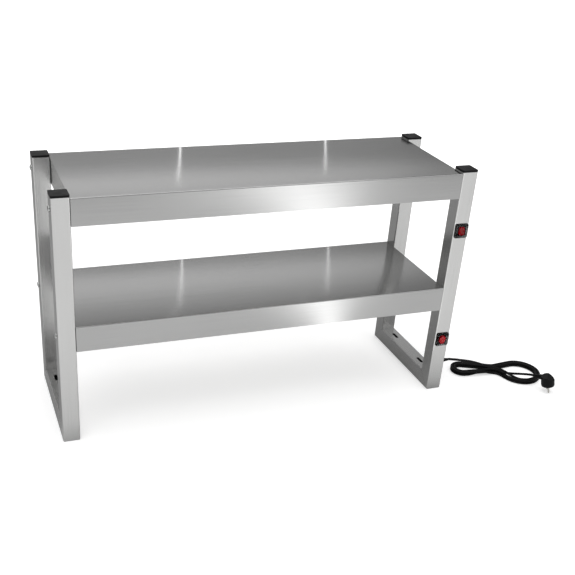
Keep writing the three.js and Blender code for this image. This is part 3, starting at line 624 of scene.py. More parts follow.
def silicone_sleeve():
    """Woven glass sleeve in brick red."""
    finish = Finish("silicone sleeve")
    wave = finish.node("TexWave", wave_type="BANDS", bands_direction="DIAGONAL")
    wave.inputs["Scale"].default_value = 300
    wave.inputs["Distortion"].default_value = 1.5
    finish.link(finish.place(), wave.inputs["Vector"])
    weave = wave.outputs["Fac"]
    finish.colour(weave, (0.2, (0.2, 0.045, 0.025)), (0.8, (0.34, 0.09, 0.05)))
    finish.roughness(weave, 0.6, 0.75)
    finish.bump(weave, 0.2, 0.1)
    return finish.material


# Cord route, in millimetres: the points and sizes of the part's source

RELIEF_TIP = (522.3, -137.5, 72)
TO_HANK = (
    (533, -137.5, 71),
    (546, -137.5, 68.4),
    (562, -137.5, 64.6),
    (578, -137.5, 60.6),
    (594, -137.5, 56.4),
    (610, -137.5, 51),
    (626, -137.5, 44.6),
    (642, -137.5, 38.2),
    (657, -137.8, 32.6),
    (671, -138.8, 28),
    (684, -141.8, 24.2),
    (695, -147.6, 21.2),
    (703, -155.8, 18.7),
)
TO_PLUG = (
    (708.8, -134, 4),
    (718, -144.2, 5.8),
    (726, -155.6, 9.6),
    (731.3, -164.3, 13.1),
    (736.4, -173.2, 17),
    (741.2, -182.3, 20.9),
    (745.8, -191.4, 24.7),
    (750.4, -200.7, 28.1),
)
CORD_D = 6.6
FIT_GAP = 0.3

# Length of the straight steps that the drawn cord is cut in
STEP = 4

# The hank: belts round four circles, each (along, across, radius), two abreast and two deep
PITCH = 7.5
FLOOR_LAYER = 3.6
TOP_LAYER = 11.1
TURNS = 4
HANK_PLACE = (685, -117)
HANK_ANGLE = math.radians(-18)
WAIST = 26.4
CIRCLES = (
    (-84, -3, 27.4),
    (0, -(2 * PITCH + WAIST), -WAIST),
    (75.5, -12, 52.5),
    (0, 2 * PITCH + WAIST, -WAIST),
)

# How far into its own turn the cord moves out, down, back and inside, and how long each move takes
OUT_AT = 84
DOWN_AT = 44
BACK_AT = 4
INSIDE_AT = 4
SHIFT = 40

# Where the cord joins the belt, and how high and for how long it comes down onto it
JOIN_AT = 136
JOIN_LENGTH = 34
JOIN_RISE = 3.4

# Spacing of the stations at which the hank may start and end, on a run and, in radians, on an arc
RUN_STEP = 20
ARC_STEP = 0.53

# The plug, which stands on its two pin tips and leans on its cord
PLUG_PLACE = (780, -249.5)
PLUG_EXIT = math.radians(117)
PIN_ANGLE = math.radians(65)
PLUG_LEAN = math.radians(12)
NECK_DROOP = math.radians(3)
PIN_D = 4.8
PIN_LENGTH = 19
PIN_SPACING = 19
PIN_SEAT = 7
NECK_HEIGHT = 21
NECK_LENGTH = 34


def belt_pieces():
    """Straight runs and arcs of one loop of the hank, in travel order."""
    headings = []
    for (u, v, r), (u2, v2, r2) in zip(CIRCLES, CIRCLES[1:] + CIRCLES[:1]):
        headings.append(math.atan2(v2 - v, u2 - u) - math.asin((r2 - r) / math.hypot(u2 - u, v2 - v)))
    belt = []
    for i, (u, v, r) in enumerate(CIRCLES):
        u2, v2, r2 = CIRCLES[(i + 1) % 4]
        heading = headings[i]
        start = (u + r * math.sin(heading), v - r * math.cos(heading))
        stop = (u2 + r2 * math.sin(heading), v2 - r2 * math.cos(heading))
        belt.append((math.dist(start, stop), heading, start, None))
        ahead = 1 if r2 > 0 else -1
        turn = ahead * ((ahead * (headings[(i + 1) % 4] - heading)) % (2 * math.pi))
        belt.append((abs(r2 * turn), heading, (u2, v2, r2), turn))
    return belt


BELT = belt_pieces()
LOOP = sum(piece[0] for piece in BELT)


def belt_place(distance, inset):
    """The place a distance along the belt, moved in from its outer line."""
    along = distance % LOOP
    for length, heading, place, turn in BELT:
        if along <= length:
            break
        along -= length
    if turn is None:
        u = place[0] + along * math.cos(heading) - inset * math.sin(heading)
        return u, place[1] + along * math.sin(heading) + inset * math.cos(heading)
    angle = heading + turn * along / length
    radius = place[2] - inset
    return place[0] + radius * math.sin(angle), place[1] - radius * math.cos(angle)


def ease(distance, start):
    """Goes softly from 0 to 1 over one shift."""
    t = min(1, max(0, (distance - start) / SHIFT))
    return (1 - math.cos(math.pi * t)) / 2


def hank_point(distance):
    """The cord comes in on top inside, moves out, drops to the counter outside and ends inside."""
    out = ease(distance, LOOP + OUT_AT)
    down = ease(distance, 2 * LOOP + DOWN_AT)
    back = ease(distance, 3 * LOOP + BACK_AT)
    inside = ease(distance, TURNS * LOOP + INSIDE_AT)
    entry = min(1, max(0, 1 - (distance - JOIN_AT) / JOIN_LENGTH))
    z = TOP_LAYER + (FLOOR_LAYER - TOP_LAYER) * down + JOIN_RISE * entry * entry
    u, v = belt_place(distance, PITCH * (1 - out + back + inside))
    x = HANK_PLACE[0] + u * math.cos(HANK_ANGLE) - v * math.sin(HANK_ANGLE)
    y = HANK_PLACE[1] + u * math.sin(HANK_ANGLE) + v * math.cos(HANK_ANGLE)
    return Vector((x, y, z))


def hank_curve():
    """The hank between its solid's ends, with straight ends one cord diameter long."""
    stations = []
    at = 0
    for length, _, _, turn in BELT:
        count = math.ceil(length / RUN_STEP if turn is None else abs(turn) / ARC_STEP)
        stations += [at + length * k / count for k in range(count)]
        at += length
    first = next(i for i, station in enumerate(stations) if station >= JOIN_AT)
    last = next(i for i, station in enumerate(stations) if station > BELT[0][0] + FIT_GAP)
    places = [turn * LOOP + station for turn in range(TURNS + 1) for station in stations]
    before, low, *_, high, after = places[first - 1 : TURNS * len(stations) + last + 2]
    count = math.ceil((high - low) / STEP)
    line = [hank_point(low + (high - low) * k / count) for k in range(count + 1)]
    start = line[0] + (hank_point(before) - line[0]).normalized() * CORD_D
    stop = line[-1] + (hank_point(after) - line[-1]).normalized() * CORD_D
    return [start, *line, stop]


def smooth_line(points):
    """A centripetal curve through the points, cut in short steps."""
    points = [Vector(point) for point in points]
    line = []
    for i in range(len(points) - 1):
        p1, p2 = points[i], points[i + 1]
        p0 = points[i - 1] if i else 2 * p1 - p2
        p3 = points[i + 2] if i + 2 < len(points) else 2 * p2 - p1
        d0, d1, d2 = (math.sqrt((b - a).length) for a, b in ((p0, p1), (p1, p2), (p2, p3)))
        t1 = ((p1 - p0) / d0 - (p2 - p0) / (d0 + d1) + (p2 - p1) / d1) * d1
        t2 = ((p2 - p1) / d1 - (p3 - p1) / (d1 + d2) + (p3 - p2) / d2) * d1
        square = 3 * p2 - 3 * p1 - 2 * t1 - t2
        cube = 2 * p1 - 2 * p2 + t1 + t2
        count = max(1, math.ceil((p2 - p1).length / STEP))
        line += [p1 + t1 * t + square * t**2 + cube * t**3 for t in (k / count for k in range(count))]
    line.append(points[-1])
    return line


def plug_frame():
    """Where the plug stands: on its two pin tips, leaning on its cord."""
    line = Vector((math.cos(PIN_ANGLE), math.sin(PIN_ANGLE), 0))
    place = Vector((*PLUG_PLACE, PIN_D / 2 * math.sin(PLUG_LEAN))) * MM
    return Matrix.Translation(place) @ Matrix.Rotation(-PLUG_LEAN, 4, line)


def neck_direction():
    flat = math.cos(NECK_DROOP)
    return Vector((math.cos(PLUG_EXIT) * flat, math.sin(PLUG_EXIT) * flat, -math.sin(NECK_DROOP)))


def cord_line():
    """The whole cord as one line of points in metres, with its ends inside the relief and the plug."""
    hank = hank_curve()
    into = (hank[1] - hank[0]).normalized()
    away = (hank[-1] - hank[-2]).normalized()
    start = Vector(RELIEF_TIP)
    straight = Vector((CORD_D, 0, 0))
    arrive = hank[0] - into * FIT_GAP
    first = smooth_line([start, start + straight, *TO_HANK, arrive - into * CORD_D, arrive])
    root = Vector((0, 0, PIN_LENGTH + NECK_HEIGHT)) * MM
    tip = plug_frame() @ (root + neck_direction() * (NECK_LENGTH + FIT_GAP) * MM) / MM
    out = plug_frame().to_3x3() @ neck_direction()
    leave = hank[-1] + away * FIT_GAP
    last = smooth_line([leave, leave + away * CORD_D, *TO_PLUG, tip + out * CORD_D, tip])
    return [point * MM for point in (start - straight, *first, *hank, *last, tip - out * CORD_D)]


# Operators, in the order in which they run


class FOODWARMER_OT_add_camera(bpy.types.Operator):
    """Camera at the photograph's viewing angle"""

    bl_idname = "food_warmer.add_camera"
    bl_label = "Camera"

    # Fitted to the edges of the stand in the photograph
    PLACE = (-0.7274326, -1.9315391, 1.2352551)
    RIGHT = Vector((0.94281, -0.32899, 0.05359))
    FORWARD = Vector((0.31279, 0.81765, -0.48334))
    SENSOR = 36
    FOCAL = 56.836
    SHIFT = (0.0652, 0.1087)
    FAR = 60

    def execute(self, context):
        clear_selection()
        bpy.ops.object.camera_add(location=self.PLACE)
        camera = context.object
        camera.name = "photo_camera"
        right = self.RIGHT.normalized()
        forward = self.FORWARD.normalized()
        up = right.cross(forward).normalized()
        right = forward.cross(up)
        turn = Matrix((right, up, -forward)).transposed().to_4x4()
        camera.matrix_world = Matrix.Translation(camera.location) @ turn
        camera.data.sensor_width = self.SENSOR
        camera.data.lens = self.FOCAL
        camera.data.shift_x, camera.data.shift_y = self.SHIFT
        camera.data.clip_end = self.FAR
        context.scene.camera = camera
        return {"FINISHED"}


class FOODWARMER_OT_add_plug(bpy.types.Operator):
    """Moulded plug with a sloping back and a side neck, its two pins, and the strain relief"""

    bl_idname = "food_warmer.add_plug"
    bl_label = "Plug and Strain Relief"

    # Round body in millimetres: radius, rounding of its rims and height
    FACE = 17.5
    RIM = 1.5
    HEIGHT = 28

    # The flat that slopes down the back, turned from the neck, and the notches in the sides
    SLOPE = math.radians(34)
    SLOPE_TURN = math.radians(24)
    NOTCH = ((-3, -2, -1), (3, 2, 14))

    # Fineness of the moulded form
    VOXEL = 0.4

    # Neck: radius at the root and the tip, how fast it tapers, the chamfer of its end, and its ribs
    NECK_ROOT = 7
    NECK_TIP = 4.7
    NECK_TAPER = 8.5
    NECK_CHAMFER = 0.4
    RIBS = 6
    PLAIN_RIBS = 4
    RIB_DEPTH = 0.7
    RIB_START = 0.01

    # Strain relief: the profile of its shank and flange, then a grooved taper from root to tip
    FLANGE = [(0, -4.8), (4.9, -4.8), (4.9, 0.3), (6.6, 0.3), (7, 0.7), (7, 1.4), (6.5, 1.9), (5.5, 1.9)]
    SLEEVE_ROOT = 5.5
    SLEEVE_TIP = 3.9
    SLEEVE_START = 1.9
    SLEEVE_LENGTH = 22
    SLEEVE_CHAMFER = 0.3
    GROOVES = 5
    GROOVE = ((0.25, 0), (0.4, 0.6), (0.65, 0.6), (0.8, 0))
    SLEEVE_PLACE = (500, -137.5, 72)

    def execute(self, context):
        place = plug_frame()
        rubber = plug_rubber()
        self.body(place, rubber)
        self.pins(place)
        self.relief(rubber)
        return {"FINISHED"}

    def body(self, place, rubber):
        rim = self.RIM
        inner, top = self.FACE - rim, self.HEIGHT - rim
        profile = [(0, 0)]
        profile += [(inner + rim * math.sin(angle), rim - rim * math.cos(angle)) for angle in quarter(3)]
        profile += [(inner + rim * math.cos(angle), top + rim * math.sin(angle)) for angle in quarter(3)]
        plug = turned("plug_moulding", [*profile, (0, self.HEIGHT)], 64)
        ridge = PLUG_EXIT + self.SLOPE_TURN
        down = Vector((math.cos(ridge), math.sin(ridge), 0)) * -math.sin(self.SLOPE)
        enter_edit(plug)
        bpy.ops.mesh.select_all(action="SELECT")
        bpy.ops.mesh.bisect(
            plane_co=(0, 0, self.HEIGHT * MM),
            plane_no=down + Vector((0, 0, math.cos(self.SLOPE))),
            use_fill=True,
            clear_outer=True,
        )
        leave_edit()
        weld(plug, self.neck())
        turn = Matrix.Rotation(PIN_ANGLE, 4, "Z")
        for side in (-1, 1):
            notch = solid("notch", *self.NOTCH)
            cut_away(plug, put(notch, turn @ Matrix.Translation(mm(0, side * self.FACE, 0))))
        put(plug, place @ Matrix.Translation((0, 0, PIN_LENGTH * MM)))
        modify(plug, "REMESH", mode="VOXEL", voxel_size=self.VOXEL * MM)
        modify(plug, "SMOOTH", factor=0.5, iterations=1)
        smooth_all(plug)
        dress(plug, rubber, stands_for=("plug_body",))

    def neck(self):
        """A tapered neck with bend-relief ribs."""
        tip, chamfer = self.NECK_TIP, self.NECK_CHAMFER
        profile = [(0, 0), (self.NECK_ROOT, 0)]
        for k in range(self.RIBS):
            depth = self.RIB_DEPTH if k >= self.PLAIN_RIBS else 0
            for share, sunk in ((0.0, 0), (0.55, 0), (0.68, depth), (0.88, depth)):
                along = (k + share) / self.RIBS
                radius = min(self.NECK_ROOT, tip + self.NECK_TAPER * (1 - along))
                profile.append((radius - sunk, NECK_LENGTH * along + self.RIB_START))
        profile += [(tip, NECK_LENGTH - chamfer), (tip - chamfer, NECK_LENGTH), (0, NECK_LENGTH)]
        neck = turned("neck", profile)
        return put(neck, Matrix.Translation(Vector((0, 0, NECK_HEIGHT)) * MM) @ turn_to(neck_direction()))

    def pins(self, place):
        """Two pins with round tips."""
        radius, length = PIN_D / 2, PIN_LENGTH + PIN_SEAT - FIT_GAP
        profile = [(radius * math.sin(angle), radius * (1 - math.cos(angle))) for angle in quarter(6)]
        pin = turned("pin", [*profile, (radius, length), (0, length)], 28)
        smooth(pin, 40)
        way = Vector((math.cos(PIN_ANGLE), math.sin(PIN_ANGLE), 0))
        rows = []
        for side, end in ((-1, "near"), (1, "far")):
            shift = Matrix.Translation(way * side * PIN_SPACING / 2 * MM)
            rows.append((f"plug_contact_{end}", f"plug_pin_{end}", place @ shift))
        dress_copies(pin, nickel_plate(), rows)

    def relief(self, rubber):
        """A tapered sleeve with bending grooves, in the post's wall."""
        root, tip = self.SLEEVE_ROOT, self.SLEEVE_TIP
        start, length = self.SLEEVE_START, self.SLEEVE_LENGTH
        profile = list(self.FLANGE)
        for k in range(self.GROOVES):
            for share, sunk in self.GROOVE:
                along = (k + share) / self.GROOVES
                profile.append((root + (tip - root) * along - sunk, start + (length - start) * along))
        profile += [(tip - self.SLEEVE_CHAMFER, length), (0, length)]
        sleeve = turned("cord_sleeve", profile)
        put(sleeve, Matrix.Translation(mm(*self.SLEEVE_PLACE)) @ ALONG_X)
        smooth(sleeve, 35)
        dress(sleeve, rubber, stands_for=("cord_strain_relief",))


class FOODWARMER_OT_add_cord(bpy.types.Operator):
    """Mains cord from the strain relief through its hank to the plug"""

    bl_idname = "food_warmer.add_cord"
    bl_label = "Cord"

    def execute(self, context):
        line = cord_line()
        curve = bpy.data.curves.new("mains_cord", "CURVE")
        curve.dimensions = "3D"
        curve.bevel_depth = sizes().cord_diameter / 2
        curve.bevel_resolution = 4
        curve.use_fill_caps = True
        spline = curve.splines.new("POLY")
        spline.points.add(len(line) - 1)
        for point, place in zip(spline.points, line):
            point.co = (*place, 1)
        spline.use_smooth = True
        cord = bpy.data.objects.new("mains_cord", curve)
        context.scene.collection.objects.link(cord)
        dress(cord, cord_sheath(), stands_for=("cord_to_hank", "cord_hank", "cord_to_plug"))
        return {"FINISHED"}


class FOODWARMER_OT_finish_frames(bpy.types.Operator):
    """Brushed finish on the posts and base rails, and the moulded post caps"""

    bl_idname = "food_warmer.finish_frames"
    bl_label = "Side Frames"

    # Cap in millimetres: half its width, its lid's thickness, and the rounding of its corners and rims
    HALF = 20
    LID = 4.7
    CORNER = 3
    RIM = 0.8

    # The hollow plug under the lid: its gap to the tube, its wall and its top's thickness
    PLUG_INSET = 1.8
    PLUG_WALL = 2.5
    PLUG_TOP = 1

    def execute(self, context):
        upright, level = upright_steel(), level_steel()
        for side in SIDES:
            finish_node(f"{side}_base_rail", level)
            for end in ENDS:
                finish_node(f"{side}_{end}_post", upright)
        self.caps()
        return {"FINISHED"}

    def caps(self):
        low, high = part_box("left_front_post_cap")
        half, lid = self.HALF * MM, high.z - self.LID * MM
        cap = block("cap", (-half, -half, lid), (half, half, high.z))
        bevel_where(cap, runs_along(2), self.CORNER * MM)
        choose(cap, faces=faces_down)
        bpy.ops.mesh.inset(thickness=self.PLUG_INSET * MM)
        grow((0, 0, low.z - lid))
        bpy.ops.mesh.inset(thickness=self.PLUG_WALL * MM)
        grow((0, 0, lid - low.z - self.PLUG_TOP * MM))
        leave_edit()
        round_edges(cap, self.RIM * MM, 3, 50)
        smooth(cap)
        rows = []
        for side in SIDES:
            for end in ENDS:
                node = f"{side}_{end}_post_cap"
                spot = centre(node)
                rows.append((f"{side}_{end}_cap", node, Matrix.Translation((spot.x, spot.y, 0))))
        dress_copies(cap, cap_plastic(), rows)


class FOODWARMER_OT_add_bolts(bpy.types.Operator):
    """Domed shelf bolts with a hexagon socket, and the plated nut bars"""

    bl_idname = "food_warmer.add_bolts"
    bl_label = "Shelf Bolts"

    # In millimetres: a shank with a chamfered tip, and a domed head with a rim and a small flat top
    SHANK = 3.9
    CHAMFER = (0.7, 0.8)
    HEAD = 7
    HEAD_HEIGHT = 4.2
    HEAD_EDGE = (0.4, 0.3)
    RIM_HEIGHT = 1
    DOME_END = math.radians(78)
    FLAT_TOP = 0.9

    # The hexagon socket: its width over corners, its floor, and where its cutter ends above the head
    SOCKET = 4.6
    SOCKET_FLOOR = 1.6
    SOCKET_TOP = 6

    # Where the heads sit against the posts
    FACE = 500.3

    def execute(self, context):
        zinc = zinc_plate()
        rows = []
        for shelf in SHELVES:
            for side, sign in zip(SIDES, (-1, 1)):
                finish_node(f"{shelf}_{side}_nut_bar", zinc)
                turn = Matrix.Rotation(sign * math.pi / 2, 4, "Y")
                for end in ENDS:
                    node = f"{shelf}_{side}_{end}_bolt"
                    spot = centre(node)
                    place = Matrix.Translation((sign * self.FACE * MM, spot.y, spot.z)) @ turn
                    rows.append((node.replace("bolt", "button_bolt"), node, place))
        dress_copies(self.bolt(), zinc, rows)
        return {"FINISHED"}

    def bolt(self):
        low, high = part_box("upper_right_front_bolt")
        reach = (high.x - low.x) / MM - self.HEAD_HEIGHT
        narrow, chamfer = self.CHAMFER
        inset, edge = self.HEAD_EDGE
        dome = self.HEAD_HEIGHT - self.RIM_HEIGHT
        shank, head = self.SHANK, self.HEAD
        profile = [(0, -reach), (shank - narrow, -reach), (shank, chamfer - reach), (shank, 0)]
        profile += [(head - inset, 0), (head, edge), (head, self.RIM_HEIGHT)]
        for angle in (self.DOME_END * k / 6 for k in range(1, 6)):
            profile.append((head * math.cos(angle), self.RIM_HEIGHT + dome * math.sin(angle)))
        profile += [(self.FLAT_TOP, self.HEAD_HEIGHT), (0, self.HEAD_HEIGHT)]
        bolt = turned("bolt", profile, 28)
        floor, top = mm(0, 0, self.SOCKET_FLOOR), mm(0, 0, self.SOCKET_TOP)
        cut_away(bolt, bar("socket", self.SOCKET * MM, floor, top, 6))
        smooth(bolt, 30)
        return bolt


class FOODWARMER_OT_add_shelves(bpy.types.Operator):
    """Folded shelf trays, and the polished reflector under each"""

    bl_idname = "food_warmer.add_shelves"
    bl_label = "Shelves"

    # Width of the turned-in edge, in millimetres
    RETURN = 15.2

    # Bolt holes in the end walls: how far out, to the front and rear, and down from the top
    HOLE_OUT = 459
    HOLE_ASIDE = 137.5
    HOLE_DROP = 26

    # Widths of the bolt holes and the lead's hole, and half the length of what cuts them
    HOLE = 8.8
    LEAD_HOLE = 9
    CUTTER = 6

    def execute(self, context):
        sheet, polished = shelf_steel(), polished_sheet()
        for shelf in SHELVES:
            self.tray(shelf, sheet)
            finish_node(f"{shelf}_reflector", polished)
        return {"FINISHED"}

    def tray(self, shelf, steel):
        node = f"{shelf}_shelf_tray"
        low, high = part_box(node)
        fold = sizes().fold_radius
        tray = block(f"{shelf}_tray", low, high)
        bevel_where(tray, lambda middle, way: abs(way.x) > 0.9 and middle.z > high.z - fold, fold, 6)
        choose(tray, faces=faces_down)
        bpy.ops.mesh.inset(thickness=self.RETURN * MM)
        bpy.ops.mesh.delete(type="FACE")
        leave_edit()
        modify(tray, "SOLIDIFY", thickness=sizes().sheet_thickness, offset=-1, use_even_offset=True)
        reach = Vector((self.CUTTER * MM, 0, 0))
        holes = []
        drop = high.z - self.HOLE_DROP * MM
        for side in (-1, 1):
            for end in (-1, 1):
                spot = Vector((side * self.HOLE_OUT * MM, end * self.HOLE_ASIDE * MM, drop))
                holes.append(bar("hole", self.HOLE * MM, spot - reach, spot + reach))
        lead = centre(f"{shelf}_terminal_block")
        lead.x = self.HOLE_OUT * MM
        holes.append(bar("hole", self.LEAD_HOLE * MM, lead - reach, lead + reach))
        cut_away(tray, *holes)
        smooth(tray, 25)
        dress(tray, steel, stands_for=(node,))


class FOODWARMER_OT_add_lamps(bpy.types.Operator):
    """Quartz lamps with coiled filaments, ceramic holders, wire guards and terminal blocks"""

    bl_idname = "food_warmer.add_lamps"
    bl_label = "Lamps and Guards"

    # Lamp in millimetres: radii of its tube and its ends, and the lengths of the ends and their shoulders
    TUBE = 5
    END = 3.5
    END_LENGTH = 21
    NECKING = 5
    SHOULDER = 4

    # Filament: radii of its coil and its wire, how far it stays short of the tube's end, and steps in a turn
    COIL = 2.4
    COIL_WIRE = 0.45
    COIL_SHORT = 3
    COIL_STEPS = 9

    # Lamp holder: its lower corners and other edges, its socket and half the length of what cuts it
    HOLDER_CORNER = 4
    HOLDER_EDGE = 0.7
    SOCKET = 7.6
    CUTTER = 20

    # The web in the middle of the socket: half its length and width, and its share of the holder's height
    WEB_HALF = 2
    WEB_ASIDE = 5.4
    WEB_HEIGHT = 0.8

    # Guard: gaps between its cross wires, and, as shares of the wire, their width, drop and rounded ends
    GUARD_GAPS = 20
    CROSS_WIRE = 0.8
    CROSS_DROP = 0.82
    WIRE_ENDS = 0.15

    # Terminal block: its edges, and the places and sizes of its screw wells and of the slots between them
    BLOCK_EDGE = 0.5
    WELLS = (-12, 0, 12)
    WELL = 5
    WELL_DEPTH = 6
    SLOTS = (-6, 6)
    SLOT_HALF = 0.6
    SLOT_DEPTH = 2

    def execute(self, context):
        ceramic = glazed_ceramic()
        self.lamps(ceramic)
        self.holders(ceramic)
        self.guards()
        self.terminals(ceramic)
        sleeve = silicone_sleeve()
        for node in ("supply_wiring", "upper_lamp_wiring", "lower_lamp_wiring"):
            finish_node(node, sleeve)
        return {"FINISHED"}

    def lamps(self, ceramic):
        low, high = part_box("upper_quartz_lamp_1")
        half = (high.x - low.x) / 2 / MM
        body = half - self.END_LENGTH
        profile = [(0, -half), (self.END, -half), (self.END, -body - self.NECKING)]
        for bulge in map(math.sin, quarter(5)[1:]):
            radius = self.END + (self.TUBE - self.END) * bulge
            profile.append((radius, -body - self.SHOULDER * (1 - bulge)))
        profile += [(radius, -height) for radius, height in reversed(profile)]
        tube = turned("lamp", profile, 24)
        put(tube, ALONG_X)
        smooth(tube, 30)
        coil = self.coil(2 * (body - self.COIL_SHORT) * MM)
        glass, wire = lamp_quartz(), filament_wire()
        for shelf in SHELVES:
            for k in (1, 2, 3):
                node = f"{shelf}_quartz_lamp_{k}"
                spot = centre(node)
                place = Matrix.Translation(spot)
                lamp = copy_of(tube, f"{shelf}_quartz_tube_{k}", place)
                dress(lamp, glass, stands_for=(node,))
                lamp.data.materials.append(ceramic)
                for face in lamp.data.polygons:
                    face.material_index = int(abs(face.center.x - spot.x) > (body + self.SHOULDER) * MM)
                dress(copy_of(coil, f"{shelf}_filament_{k}", place), wire)
        bpy.data.objects.remove(tube)
        bpy.data.objects.remove(coil)

    def coil(self, length):
        """A coiled wire along X, wound by a Screw modifier."""
        pitch = sizes().coil_pitch
        turns = int(length / pitch)
        clear_selection()
        bpy.ops.mesh.primitive_circle_add(
            vertices=5,
            radius=self.COIL_WIRE * MM,
            fill_type="NGON",
            location=mm(self.COIL, 0, 0),
            rotation=(math.pi / 2, 0, 0),
        )
        coil = just_made("coil")
        bake_place(coil)
        steps = self.COIL_STEPS
        modify(
            coil,
            "SCREW",
            screw_offset=pitch,
            iterations=turns,
            steps=steps,
            render_steps=steps,
            use_normal_calculate=True,
        )
        put(coil, ALONG_X @ Matrix.Translation((0, 0, -turns * pitch / 2)))
        enter_edit(coil)
        close_seams()
        smooth_all(coil)
        return coil

    def holders(self, ceramic):
        low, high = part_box("upper_lamp_holder_2")
        half = (high - low) / 2
        holder = block("holder", -half, half)
        corner = self.HOLDER_CORNER * MM
        bevel_where(holder, lambda middle, way: abs(way.x) > 0.9 and middle.z < 0, corner, 5)
        axis = Vector((0, 0, centre("upper_quartz_lamp_1").z - centre("upper_lamp_holder_2").z))
        reach = Vector((self.CUTTER * MM, 0, 0))
        cut_away(holder, bar("socket", self.SOCKET * MM, axis - reach, axis + reach))
        web = Vector((self.WEB_HALF * MM, self.WEB_ASIDE * MM, self.WEB_HEIGHT * half.z))
        weld(holder, block("web", -web, web))
        round_edges(holder, self.HOLDER_EDGE * MM, 2, 40)
        smooth(holder)
        rows = []
        for shelf in SHELVES:
            for k in (1, 2, 3, 4):
                node = f"{shelf}_lamp_holder_{k}"
                rows.append((f"{shelf}_ceramic_holder_{k}", node, Matrix.Translation(centre(node))))
        dress_copies(holder, ceramic, rows)

    def guards(self):
        """Three long wires and a row of thinner cross wires under them."""
        wire = sizes().wire_diameter
        plated = wire_plate()
        for shelf in SHELVES:
            node = f"{shelf}_lamp_guard"
            low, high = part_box(node)
            z = high.z - wire / 2
            rail_y = high.y - wire / 2
            pieces = [bar("wire", wire, (low.x, y, z), (high.x, y, z), 10) for y in (-rail_y, 0, rail_y)]
            start, below = low.x + wire / 2, z - wire * self.CROSS_DROP
            front, rear = low.y - wire / 2, high.y + wire / 2
            cross = bar("wire", wire * self.CROSS_WIRE, (start, front, below), (start, rear, below), 10)
            modify(
                cross,
                "ARRAY",
                count=self.GUARD_GAPS + 1,
                use_relative_offset=False,
                use_constant_offset=True,
                constant_offset_displace=((high.x - low.x - wire) / self.GUARD_GAPS, 0, 0),
            )
            pick(*pieces, cross)
            bpy.ops.object.join()
            guard = just_made(f"{shelf}_wire_guard")
            round_edges(guard, wire * self.WIRE_ENDS, 2, 60)
            smooth(guard, 50)
            dress(guard, plated, stands_for=(node,))

    def terminals(self, ceramic):
        low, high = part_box("upper_terminal_block")
        half = (high - low) / 2
        body = block("terminal", -half, half)
        for x in self.WELLS:
            floor, top = (x * MM, 0, half.z - self.WELL_DEPTH * MM), (x * MM, 0, half.z + 2 * MM)
            cut_away(body, bar("well", self.WELL * MM, floor, top))
        for x in self.SLOTS:
            start = ((x - self.SLOT_HALF) * MM, -half.y - MM, half.z - self.SLOT_DEPTH * MM)
            cut_away(body, block("slot", start, ((x + self.SLOT_HALF) * MM, half.y + MM, half.z + MM)))
        round_edges(body, self.BLOCK_EDGE * MM, 2, 40)
        smooth(body)
        nodes = [f"{shelf}_terminal_block" for shelf in SHELVES]
        rows = [(node.replace("_block", "s"), node, Matrix.Translation(centre(node))) for node in nodes]
        dress_copies(body, ceramic, rows)


